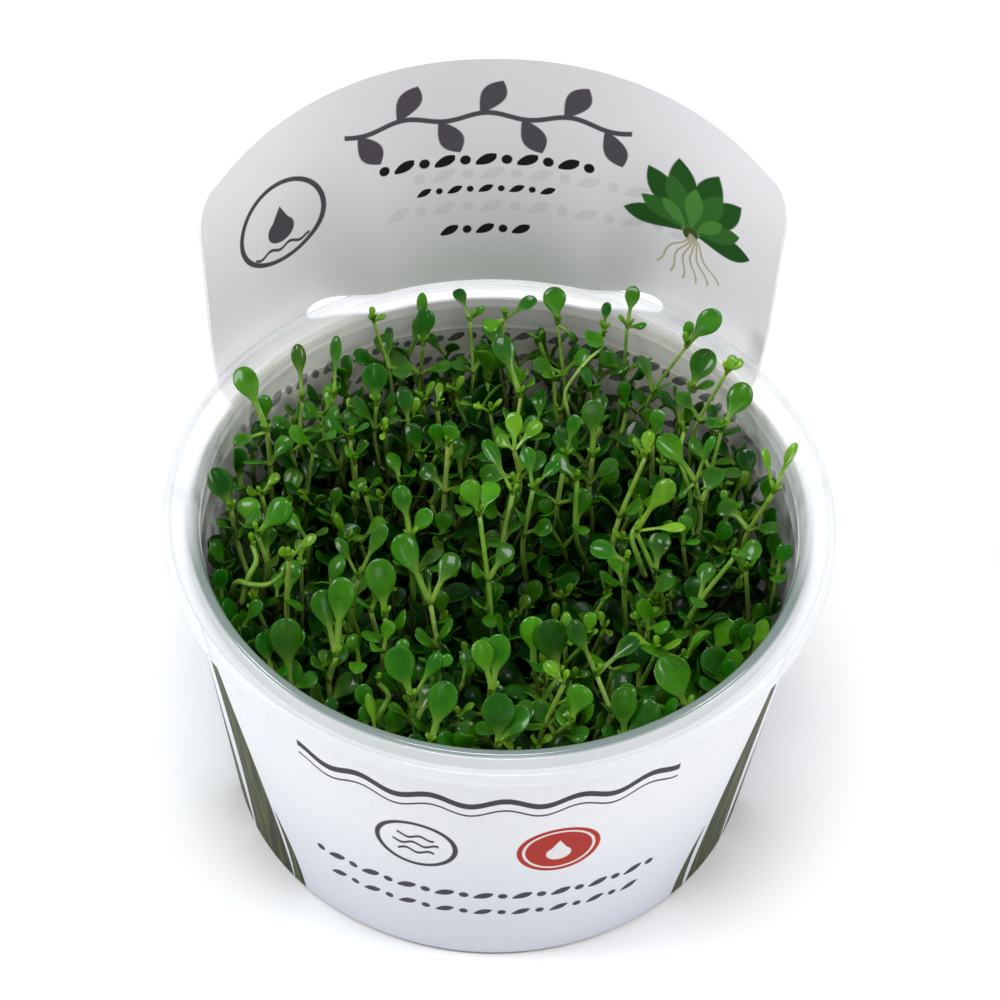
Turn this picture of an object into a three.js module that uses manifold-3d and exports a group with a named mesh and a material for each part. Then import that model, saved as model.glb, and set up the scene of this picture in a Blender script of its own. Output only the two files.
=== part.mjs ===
// A tissue culture cup of mud mat, a carpeting aquarium plant.
// Millimetres, +Z up, the origin at the middle of the cup's base, the card at the back on +Y.
import * as THREE from 'three';
import { mergeVertices } from 'three/addons/utils/BufferGeometryUtils.js';
import Module from 'manifold-3d';

const wasm = await Module();
wasm.setup();

// Air kept between neighbouring pieces
const CLEARANCE = 0.35;

// Cup
const RIM_HEIGHT = 48;
const FLANGE_RADIUS = 42;
const MOUTH_RADIUS = 37.6;
const FLOOR_THICKNESS = 1;
const WALL_THICKNESS = 1;
const LEDGE_HEIGHT = 36.6;
const CUP_SIDES = 48;

// Sleeve, a tapered wrap of card that stands up behind the cup
const SLEEVE_THICKNESS = 0.45;
const SLEEVE_FOOT = 0.4;
const SLEEVE_FOOT_RADIUS = 34.2;
const SLEEVE_TAPER = 0.1256;
const SLEEVE_TOP = 44.8;
const SLEEVE_REST_STEPS = 28;
const CARD_CENTRE = -5;
const CARD_HALF_ANGLE = 55.5;
const CARD_PEAK = 82;
const CARD_ARCH = 5.4;
const CARD_SIDE_TOP = 71;
const SLOT_HALF_ANGLE = 33.5;
const SLOT_MIDDLE = 46.9;
const SLOT_HALF_HEIGHT = 1.65;
const SLOT_END_HALF_HEIGHT = 0.5;
const SLOT_ROUND_FROM = 28;
// Where the card starts to swing out below the flange, and where it has settled above it
const SWING_FROM = 37;
const SETTLED_BY = 74;
// Columns of the card, in degrees either side of its middle, closer at slot ends and corners
const HALF_CARD = [
  0, 5, 10, 15, 20, 24, SLOT_ROUND_FROM, 31, 32.7, SLOT_HALF_ANGLE, 38, 44, 50, 52.5, 54.5,
  CARD_HALF_ANGLE,
];

// Nutrient gel and plants
const GEL_TOP = 9.5;
const GEL_SIDES = 24;
const CARPET_RADIUS = 34;
const CARPET_SIDE_HEIGHT = 27;
const CARPET_TOP = 40;
const CARPET_HOLLOW = 8.5;
const CARPET_SIDES = 20;
const CARPET_LEAVES = 26;
const CARPET_LEAF_SPACING = 3.4;
const CARPET_LEAF_RISE = 5;
const GOLDEN_ANGLE = 137.508;
const STEM_RADIUS = 0.42;
const STALK_RADIUS = 0.34;
const ROOT_DEPTH = 3;

const rad = THREE.MathUtils.degToRad;
const smooth = THREE.MathUtils.smoothstep;

// Repeatable random numbers
let seed = 7;
function random(low, high) {
  seed = (seed * 16807) % 2147483647;
  return low + (high - low) * (seed / 2147483647);
}

function material(color, roughness, options = {}) {
  return new THREE.MeshStandardMaterial({ color, roughness, metalness: 0, ...options });
}

const plastic = material(0xe9eff2, 0.25, { transparent: true, opacity: 0.6 });
const card = material(0xeceeee, 0.55);
const gelMaterial = material(0xd8d3b4, 0.15);
const leafGreen = material(0x2f7d1c, 0.3);
const youngGreen = material(0x8db52f, 0.35);
const carpetGreen = material(0x24601a, 0.45);

// A closed geometry as a solid that can be joined and cut
function solid(geometry) {
  const bare = geometry.clone();
  bare.deleteAttribute('normal');
  bare.deleteAttribute('uv');
  const merged = mergeVertices(bare, 1e-4);
  return new wasm.Manifold(new wasm.Mesh({
    numProp: 3,
    vertProperties: merged.attributes.position.array,
    triVerts: new Uint32Array(merged.index.array),
  }));
}

function geometryOf(body) {
  const mesh = body.getMesh();
  const geometry = new THREE.BufferGeometry();
  geometry.setAttribute('position', new THREE.BufferAttribute(mesh.vertProperties, 3));
  geometry.setIndex(new THREE.BufferAttribute(mesh.triVerts, 1));
  geometry.computeVertexNormals();
  return geometry;
}

function meshGeometry(points, triangles) {
  const geometry = new THREE.BufferGeometry();
  geometry.setAttribute('position', new THREE.Float32BufferAttribute(points.flat(), 3));
  geometry.setIndex(triangles.flat());
  geometry.computeVertexNormals();
  return geometry;
}

// A closed profile of [radius, height] points turned about the vertical axis
function turned(profile, sides) {
  const points = profile.map(([radius, height]) => new THREE.Vector2(radius, height));
  const geometry = new THREE.LatheGeometry(points, sides);
  geometry.rotateX(Math.PI / 2);
  geometry.deleteAttribute('uv');
  geometry.deleteAttribute('normal');
  const merged = mergeVertices(geometry, 1e-4);
  merged.computeVertexNormals();
  return merged;
}

// The conical surfaces of sleeve and cup at a height
const sleeveOutside = (z) => SLEEVE_FOOT_RADIUS + SLEEVE_TAPER * z;
const cupOutside = (z) => sleeveOutside(z) - SLEEVE_THICKNESS - CLEARANCE;
const cupInside = (z) => cupOutside(z) - WALL_THICKNESS;

function cupGeometry() {
  const wallTop = RIM_HEIGHT - 2;
  const outside = [
    [0, 0],
    [cupOutside(0) - 0.8, 0],
    [cupOutside(0.8), 0.8],
    [cupOutside(wallTop), wallTop],
    [FLANGE_RADIUS - 0.9, wallTop],
    [FLANGE_RADIUS, wallTop - 0.3],
    [FLANGE_RADIUS, RIM_HEIGHT - 0.4],
    [FLANGE_RADIUS - 0.5, RIM_HEIGHT],
  ];
  const bead = [
    [MOUTH_RADIUS + 1.5, RIM_HEIGHT - 0.3],
    [MOUTH_RADIUS + 1.1, RIM_HEIGHT + 0.1],
    [MOUTH_RADIUS + 0.4, RIM_HEIGHT + 0.1],
    [MOUTH_RADIUS, RIM_HEIGHT - 0.6],
  ];
  const inside = [
    [MOUTH_RADIUS - 0.1, LEDGE_HEIGHT + 0.7],
    [cupInside(LEDGE_HEIGHT), LEDGE_HEIGHT],
    [cupInside(FLOOR_THICKNESS + 1), FLOOR_THICKNESS + 1],
    [cupInside(FLOOR_THICKNESS) - 1, FLOOR_THICKNESS],
    [0, FLOOR_THICKNESS],
  ];
  return turned([...outside, ...bead, ...inside], CUP_SIDES);
}

// Height of the card's top edge at an angle from its middle: a flat arch with round corners
function cardTop(fromMiddle) {
  const corner = CARD_HALF_ANGLE - 5.5;
  const arch = CARD_PEAK - CARD_ARCH * Math.pow(Math.min(fromMiddle, corner) / corner, 2.5);
  const turn = Math.max(0, (fromMiddle - corner) / (CARD_HALF_ANGLE - corner));
  return arch - (arch - CARD_SIDE_TOP) * (1 - Math.sqrt(1 - Math.min(1, turn * turn)));
}

// Beyond the slot the card swings out, so that it passes outside the flange,
// and higher up it settles to one smooth curve over its whole width
function cardSwing(fromMiddle, z) {
  const full = FLANGE_RADIUS + CLEARANCE - (sleeveOutside(SLOT_MIDDLE - 1.4) - SLEEVE_THICKNESS);
  const side = smooth(fromMiddle, SLOT_HALF_ANGLE - 15, SLOT_HALF_ANGLE - 1);
  const rise = smooth(z, SWING_FROM, SLOT_MIDDLE - 1.5);
  const settled = smooth(z, RIM_HEIGHT + 1, SETTLED_BY);
  return full * rise * THREE.MathUtils.lerp(side, 0.5, settled);
}

function slotHalfHeight(fromMiddle) {
  const end = (fromMiddle - SLOT_ROUND_FROM) / (SLOT_HALF_ANGLE - SLOT_ROUND_FROM);
  const round = Math.sqrt(1 - Math.min(1, Math.max(0, end)) ** 2);
  return SLOT_END_HALF_HEIGHT + (SLOT_HALF_HEIGHT - SLOT_END_HALF_HEIGHT) * round;
}

function sleeveGeometry() {
  const cardAngles = [...HALF_CARD.slice(1).reverse().map((angle) => -angle), ...HALF_CARD];
  const restStep = (360 - 2 * CARD_HALF_ANGLE) / SLEEVE_REST_STEPS;
  const restAngles = Array.from(
    { length: SLEEVE_REST_STEPS - 1 },
    (_, k) => CARD_HALF_ANGLE + restStep * (k + 1),
  );
  const angles = [...cardAngles, ...restAngles];
  const columns = angles.length;
  const lastCard = cardAngles.length - 1;

  const heights = angles.map((angle, column) => {
    const wrap = [SLEEVE_FOOT, SWING_FROM, 41, SLEEVE_TOP];
    if (column > lastCard) return wrap;
    const fromMiddle = Math.abs(angle);
    const slot = slotHalfHeight(fromMiddle);
    const slotTop = SLOT_MIDDLE + slot;
    const top = cardTop(fromMiddle);
    const above = [0.12, 0.4, 0.7, 1].map((share) => slotTop + (top - slotTop) * share);
    return [...wrap, SLOT_MIDDLE - slot, slotTop, ...above];
  });
  const wrapRows = 4;
  const rows = heights[0].length;

  const points = [];
  const outer = [];
  const inner = [];
  angles.forEach((angle, column) => {
    const turn = rad(angle + CARD_CENTRE);
    outer.push([]);
    inner.push([]);
    heights[column].forEach((z) => {
      const swing = column > lastCard ? 0 : cardSwing(Math.abs(angle), z);
      const radius = sleeveOutside(z) + swing;
      for (const [list, r] of [[outer, radius], [inner, radius - SLEEVE_THICKNESS]]) {
        list[column].push(points.length);
        points.push([r * Math.sin(turn), r * Math.cos(turn), z]);
      }
    });
  });

  const slotCell = (column, row) => row === wrapRows
    && Math.abs(angles[column] + angles[column + 1]) / 2 < SLOT_HALF_ANGLE;
  const filled = (column, row) => {
    if (row < 0 || row >= rows - 1) return false;
    if (row < wrapRows - 1) return true;
    const at = (column + columns) % columns;
    return at < lastCard && !slotCell(at, row);
  };

  const triangles = [];
  const quad = (a, b, c, d) => triangles.push([a, b, c], [a, c, d]);
  for (let column = 0; column < columns; column += 1) {
    const next = (column + 1) % columns;
    for (let row = 0; row < rows - 1; row += 1) {
      if (!filled(column, row)) continue;
      const up = row + 1;
      quad(outer[column][row], outer[column][up], outer[next][up], outer[next][row]);
      quad(inner[column][row], inner[next][row], inner[next][up], inner[column][up]);
      if (!filled(column, row - 1)) {
        quad(outer[column][row], outer[next][row], inner[next][row], inner[column][row]);
      }
      if (!filled(column, up)) {
        quad(outer[column][up], inner[column][up], inner[next][up], outer[next][up]);
      }
      if (!filled(column - 1, row)) {
        quad(outer[column][row], inner[column][row], inner[column][up], outer[column][up]);
      }
      if (!filled(column + 1, row)) {
        quad(outer[next][row], outer[next][up], inner[next][up], inner[next][row]);
      }
    }
  }
  return meshGeometry(points, triangles);
}

function gelGeometry() {
  const gap = CLEARANCE;
  const low = FLOOR_THICKNESS + gap;
  return turned([
    [0, low],
    [cupInside(low) - 1 - gap, low],
    [cupInside(low + 1) - gap, low + 1],
    [cupInside(GEL_TOP) - gap, GEL_TOP],
    [0, GEL_TOP],
  ], GEL_SIDES);
}

// A closed skin over rings of points that turn right-handed about the way they follow
// each other. A ring of one point ends the skin in a tip.
function skin(rings) {
  const points = [];
  const index = rings.map((ring) => ring.map((point) => points.push(point.toArray()) - 1));
  const triangles = [];
  for (let k = 0; k < index.length - 1; k += 1) {
    const [near, far] = [index[k], index[k + 1]];
    const sides = Math.max(near.length, far.length);
    for (let s = 0; s < sides; s += 1) {
      const t = (s + 1) % sides;
      if (near.length > 1) triangles.push([near[s], near[t], far[t] ?? far[0]]);
      if (far.length > 1) triangles.push([near[s] ?? near[0], far[t], far[s]]);
    }
  }
  const [first, last] = [index[0], index[index.length - 1]];
  for (let s = 1; s < first.length - 1; s += 1) triangles.push([first[0], first[s + 1], first[s]]);
  for (let s = 1; s < last.length - 1; s += 1) triangles.push([last[0], last[s], last[s + 1]]);
  return solid(meshGeometry(points, triangles));
}

// A spoon leaf: a stalk that widens to a round, plump blade. It starts at a joint and leaves
// it towards a heading, in degrees from +X, rising at a pitch that eases along it. The roll
// turns the blade about its own stalk.
function leaf(joint, [heading, pitch, length, width, roll = 0]) {
  const stalk = Math.min(STALK_RADIUS, 0.32 * width);
  const depth = Math.min(0.42, 0.2 * length);
  const shares = [0, 0.12, 0.45, 0.66, 0.86, 1];
  const halfWidths = [0, stalk, stalk * 1.2, width * 0.46, width * 0.5, 0];
  const halfDepths = [0, stalk, stalk, depth, depth * 0.95, 0];
  const out = new THREE.Vector3(Math.cos(rad(heading)), Math.sin(rad(heading)), 0);
  const level = new THREE.Vector3(-out.y, out.x, 0);
  const up = new THREE.Vector3(0, 0, 1);
  const centre = joint.clone();
  let lastShare = 0;
  return skin(shares.map((share, k) => {
    const angle = rad(pitch + 18 - 34 * share);
    const along = out.clone().multiplyScalar(Math.cos(angle)).addScaledVector(up, Math.sin(angle));
    const across = level.clone().applyAxisAngle(along, rad(roll * share));
    const normal = new THREE.Vector3().crossVectors(along, across);
    centre.addScaledVector(along, (share - lastShare) * length);
    lastShare = share;
    if (halfWidths[k] === 0) return [centre.clone()];
    return [[1, 0], [0, 1], [-1, 0], [0, -1]].map(([a, n]) => centre.clone()
      .addScaledVector(across, a * halfWidths[k])
      .addScaledVector(normal, n * halfDepths[k]));
  }));
}

// A stem through a few points, with the section of a square on edge
function stem(points, radius) {
  const rings = points.map((point, k) => {
    const before = points[Math.max(0, k - 1)];
    const after = points[Math.min(points.length - 1, k + 1)];
    const along = after.clone().sub(before).normalize();
    const side = new THREE.Vector3(0, 1, 0).cross(along).normalize();
    const front = along.clone().cross(side);
    return [0, 1, 2, 3].map((q) => point.clone()
      .addScaledVector(side, radius * Math.cos(q * Math.PI / 2))
      .addScaledVector(front, radius * Math.sin(q * Math.PI / 2)));
  });
  return skin(rings);
}

// Top of the carpet over a place, low in the middle, round its edge and between the tufts
function carpetTop(x, y) {
  const radius = Math.hypot(x, y) / CARPET_RADIUS;
  const tufts = 1.3 * Math.sin(x * 0.31 + 0.6) * Math.sin(y * 0.27 - 0.4);
  const towardsCard = y > 0 ? 2.5 * smooth(y, 12, 34) : 0;
  const hollow = CARPET_HOLLOW * Math.exp(-(x * x) / 420 - ((y + 1) * (y + 1)) / 200);
  return CARPET_TOP + tufts - 5 * Math.pow(radius, 6) - towardsCard - hollow;
}

// Leading plantlets that stand above the carpet: where head and foot are, and the leaves at
// the head, each as heading, pitch, length, width and roll
const PLANTLETS = [
  // Along the card
  { head: [-11, 29, 46.5], foot: [-11.5, 27.5], leaves: [[85, 60, 5, 2.5], [95, 50, 7, 1.4]] },
  {
    head: [-5, 32.5, 48],
    foot: [-5.5, 29.5],
    leaves: [[115, 15, 5, 1.7, -10], [35, 30, 2.6, 1.1, 15]],
  },
  { head: [-0.5, 33, 48], foot: [0.5, 30], leaves: [[25, 25, 5, 1.9, 15], [220, 5, 3.5, 2.2, -25]] },
  { head: [6.5, 32.5, 48], foot: [8.5, 28], leaves: [[105, 45, 5, 3], [330, -25, 3.5, 1.1, 10]] },
  { head: [12.5, 32, 47.5], foot: [11.5, 28], leaves: [[80, 55, 4, 1.3], [235, 5, 3.5, 2.9, -25]] },
  { head: [15.5, 30.5, 50], foot: [15, 27], leaves: [[80, 45, 5.5, 1.9], [340, 30, 3, 1.2, 15]] },
  { head: [23, 25.5, 52], foot: [19, 24.5], leaves: [[25, 45, 6.5, 3.1, 30], [80, 60, 3.5, 1.4]] },
  { head: [24, 23.5, 46], foot: [22.5, 21.5], leaves: [[50, 50, 6, 3.3, 20], [355, 30, 3.5, 1.6]] },
  {
    head: [28, 19.5, 53.5],
    foot: [24.5, 19],
    leaves: [[60, 40, 2.6, 1.3, 10], [30, 30, 2.8, 1.3, 20]],
    young: true,
  },
  {
    head: [-17.5, 29.5, 50],
    foot: [-15, 27],
    leaves: [[25, 20, 1.8, 1, 10], [180, 60, 1.4, 0.8, -15]],
    young: true,
  },
  // Left side
  { head: [-22, 19, 46.5], foot: [-22, 18.5], leaves: [[90, 45, 8, 1.5]] },
  { head: [-26, 18, 46.5], foot: [-25.5, 16.5], leaves: [[100, 45, 7.5, 1.9]] },
  { head: [-30, 11.5, 47.5], foot: [-29.5, 10], leaves: [[125, 40, 9, 3, -20], [215, 5, 5, 1.8]] },
  { head: [-33.5, -1.5, 47], foot: [-31, -3.5], leaves: [[135, 55, 6, 3.1, -25]] },
  {
    head: [-25.5, -11.5, 49.5],
    foot: [-25.5, -13.5],
    leaves: [[20, 45, 5, 1.4, 20], [175, 65, 2.4, 1.3, -40]],
    young: true,
  },
  { head: [-31.5, -15.5, 40], foot: [-26.5, -16], leaves: [[30, 55, 5.5, 1.9, 20]] },
  { head: [-24.5, -25, 41], foot: [-20, -24], leaves: [[100, 60, 9.5, 4], [15, 30, 4, 2.3, 10]] },
  { head: [-19, -22.5, 45], foot: [-19, -24], leaves: [[115, 50, 8.5, 3.2, -15], [85, 55, 10, 3.4]] },
  { head: [-17, -11, 46], foot: [-17, -11.5], leaves: [[140, 50, 6, 1.5, -10], [45, 55, 8, 2, 15]] },
  // Middle
  { head: [-16.5, 19, 45.5], foot: [-16, 18], leaves: [[100, 55, 5.5, 3.3]] },
  { head: [2, 21, 46], foot: [2, 19], leaves: [[120, 40, 8.5, 3, -15]] },
  { head: [1.5, 4, 46], foot: [1, 3], leaves: [[135, 45, 8, 1.9, -20]] },
  { head: [4, 4.5, 46.5], foot: [4, 2], leaves: [[105, 40, 5.5, 2], [30, 40, 5, 1.7, 20]] },
  { head: [-2.5, -2, 48.5], foot: [0, -11.5], leaves: [[130, 55, 5, 2.9, -20], [70, 15, 5, 2.5, 10]] },
  {
    head: [-11, -4, 46],
    foot: [-10.5, -5.5],
    leaves: [[115, 55, 7, 2.4, -10], [40, 45, 4.5, 2.3, 20]],
  },
  {
    head: [-8, -14.5, 46],
    foot: [-7, -17],
    leaves: [[130, 45, 9.5, 3.4, -20], [60, 35, 7, 2.7, 15], [100, 40, 4.5, 0.9]],
  },
  { head: [9.5, 6, 47], foot: [12, 4], leaves: [[155, 35, 4.5, 2.3, -25]] },
  {
    head: [18, 8.5, 49],
    foot: [14.5, 1.5],
    leaves: [[80, 45, 3.5, 1.7], [130, 35, 3, 1, -10]],
    young: true,
  },
  {
    head: [17, -3, 48],
    foot: [21.5, -5.5],
    leaves: [[350, 20, 6.5, 1.4, 20], [30, 55, 8.5, 2.8, 30]],
    young: true,
  },
  {
    head: [24.5, 7, 46.5],
    foot: [25.5, 5.5],
    leaves: [[155, 45, 8, 3, -30], [60, 50, 6.5, 1.2], [225, -20, 3, 0.9]],
  },
  // Right side
  { head: [28, 17, 45.5], foot: [27, 15.5], leaves: [[55, 40, 7, 3.2, 20], [185, 40, 2.8, 1.6, -20]] },
  { head: [34, 3, 49.5], foot: [31, 3], leaves: [[60, 40, 7, 1.3], [115, 50, 6, 1.1]], young: true },
  { head: [29, -7.5, 49], foot: [23, -12], leaves: [[355, 35, 4, 2.7, 40]] },
  { head: [31.5, -16, 38], foot: [25.5, -18], leaves: [[60, 60, 7, 1.9, 15]], young: true },
  // Front edge
  { head: [-13.5, -32.5, 41], foot: [-10.5, -29], leaves: [[110, 55, 6.5, 1.3]], young: true },
  { head: [-7, -34.5, 44], foot: [-6, -30.5], leaves: [[70, 50, 8, 3.5, 10]] },
  {
    head: [-9.5, -30, 46.5],
    foot: [-8.5, -30],
    leaves: [[130, 60, 7.5, 3.6, -25], [45, 50, 7, 2, 10]],
  },
  { head: [0, -28, 46], foot: [0.5, -30], leaves: [[120, 55, 7, 2.6, -15], [80, 55, 7.5, 3.1]] },
  { head: [1, -35, 45], foot: [1.5, -31], leaves: [[95, 65, 7, 3.9], [35, 50, 6, 3.2, 30]] },
  { head: [8.5, -28.5, 49], foot: [6, -30.5], leaves: [[140, 25, 3.5, 1.7, -20]], young: true },
  { head: [9.5, -32.5, 47], foot: [7.5, -30], leaves: [[60, 60, 5, 3.4, 15]] },
  { head: [12.5, -24.5, 46], foot: [13, -26], leaves: [[140, 55, 8, 2.5, -20], [25, 40, 7, 2.3, 15]] },
  { head: [16, -31.5, 42.5], foot: [13.5, -28], leaves: [[100, 60, 7, 3.2], [30, 50, 6.5, 3.7, 30]] },
  { head: [23.5, -26, 42], foot: [20, -23.5], leaves: [[135, 50, 7.5, 4.3, -25]] },
];

function plantletSpine({ head, foot }) {
  const top = new THREE.Vector3(...head);
  const root = new THREE.Vector3(foot[0], foot[1], carpetTop(...foot) - ROOT_DEPTH);
  const bend = root.clone().lerp(top, 0.5);
  bend.lerp(new THREE.Vector3(foot[0], foot[1], bend.z), 0.5);
  return [root, bend, top];
}

// The stem ends a little above its joint, so that the leaves grow out of it
function plantlet(spec) {
  const [root, bend, top] = plantletSpine(spec);
  const end = top.clone().addScaledVector(top.clone().sub(bend).normalize(), STEM_RADIUS);
  return spec.leaves.reduce(
    (body, look) => body.add(leaf(top, look)),
    stem([root, bend, end], STEM_RADIUS),
  );
}

function carpet(specs) {
  const low = GEL_TOP + CLEARANCE;
  const ringShares = [0.28, 0.52, 0.74, 0.9, 1];
  const bottomRadius = cupInside(low) - CLEARANCE;
  const at = (radius, side, z) => {
    const angle = (side / CARPET_SIDES) * 2 * Math.PI;
    const x = radius * Math.cos(angle);
    const y = radius * Math.sin(angle);
    return new THREE.Vector3(x, y, z ?? carpetTop(x, y) + 1.1 * Math.sin(side * 2.3 + radius));
  };
  const ring = (radius, z) => Array.from({ length: CARPET_SIDES }, (_, side) => at(radius, side, z));
  const rings = [
    ring(bottomRadius, low),
    ring(CARPET_RADIUS, CARPET_SIDE_HEIGHT),
    ...ringShares.slice().reverse().map((share) => ring(CARPET_RADIUS * share)),
    [new THREE.Vector3(0, 0, carpetTop(0, 0))],
  ];
  let body = skin(rings);
  for (let k = 0; k < CARPET_LEAVES; k += 1) {
    const radius = (CARPET_RADIUS - 4.5) * Math.sqrt((k + 0.5) / CARPET_LEAVES);
    const angle = rad(k * GOLDEN_ANGLE);
    const x = radius * Math.cos(angle);
    const y = radius * Math.sin(angle);
    if (specs.some(({ foot }) => Math.hypot(foot[0] - x, foot[1] - y) < CARPET_LEAF_SPACING)) continue;
    const look = [random(0, 360), random(35, 60), random(5.5, 7), random(3.4, 4.2)];
    body = body.add(leaf(new THREE.Vector3(x, y, carpetTop(x, y) - 1.5), look));
  }
  for (const spec of specs) {
    const [root, bend] = plantletSpine(spec);
    const down = root.clone().sub(bend).normalize();
    const socket = stem([
      root.clone().addScaledVector(down, CLEARANCE),
      root.clone().addScaledVector(down, -ROOT_DEPTH - CARPET_LEAF_RISE),
    ], STEM_RADIUS + 1.6 * CLEARANCE);
    body = body.subtract(socket);
  }
  // A leaf tip that a stem would pass through is left out
  return body.decompose().sort((a, b) => b.volume() - a.volume())[0];
}

function node(name, geometry, look) {
  const mesh = new THREE.Mesh(geometry, look);
  mesh.name = name;
  return mesh;
}

const cup = new THREE.Group();
cup.add(node('cup', cupGeometry(), plastic));
cup.add(node('sleeve', sleeveGeometry(), card));
cup.add(node('nutrient_gel', gelGeometry(), gelMaterial));

const plants = new THREE.Group();
plants.add(node('carpet', geometryOf(carpet(PLANTLETS)), carpetGreen));
PLANTLETS.forEach((spec, k) => {
  const name = `plantlet_${String(k + 1).padStart(2, '0')}`;
  plants.add(node(name, geometryOf(plantlet(spec)), spec.young ? youngGreen : leafGreen));
});

const model = new THREE.Group();
model.add(cup, plants);

export default model;
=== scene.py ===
import math

import bpy
import numpy as np
from mathutils import Matrix, Vector


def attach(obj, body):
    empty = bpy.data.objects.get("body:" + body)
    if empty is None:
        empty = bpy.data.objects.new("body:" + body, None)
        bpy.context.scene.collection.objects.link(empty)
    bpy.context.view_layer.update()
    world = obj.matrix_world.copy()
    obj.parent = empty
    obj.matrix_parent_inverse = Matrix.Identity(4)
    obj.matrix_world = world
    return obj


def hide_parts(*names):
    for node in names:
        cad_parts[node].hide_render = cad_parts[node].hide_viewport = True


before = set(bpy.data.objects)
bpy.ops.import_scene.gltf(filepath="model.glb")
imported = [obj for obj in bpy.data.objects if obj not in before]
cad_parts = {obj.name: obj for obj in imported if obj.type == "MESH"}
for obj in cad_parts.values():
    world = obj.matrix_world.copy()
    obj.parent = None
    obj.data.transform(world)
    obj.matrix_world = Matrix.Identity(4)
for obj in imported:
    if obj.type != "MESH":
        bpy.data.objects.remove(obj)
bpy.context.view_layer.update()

MM = 0.001

# Numbers of the CAD model
RIM_HEIGHT = 48.0
FLANGE_RADIUS = 42.0
MOUTH_RADIUS = 37.6
LEDGE_HEIGHT = 36.6
SLEEVE_THICKNESS = 0.45
CLEARANCE = 0.35
SLEEVE_FOOT = 0.4
SLEEVE_FOOT_RADIUS = 34.2
SLEEVE_TAPER = 0.1256
CUP_WALL = 1.0
SLEEVE_TOP = 44.8
CARD_CENTRE = -5.0
CARD_HALF_ANGLE = 55.5
CARD_CORNER = 50.0
CARD_PEAK = 82.0
CARD_ARCH = 5.4
CARD_SIDE_TOP = 71.0
SLOT_HALF_ANGLE = 33.5
SLOT_END = 28.0
SLOT_MIDDLE = 46.9
GEL_TOP = 9.5
CARPET_RADIUS = 34.0
CARPET_HEIGHT = 40.0
CARPET_TUFTS = 1.3
CARPET_EDGE_DROP = 5.0
CARPET_CARD_DROP = 2.5
CARPET_HOLLOW = 8.5
HOLLOW_SPREAD = (420.0, 200.0)

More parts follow.
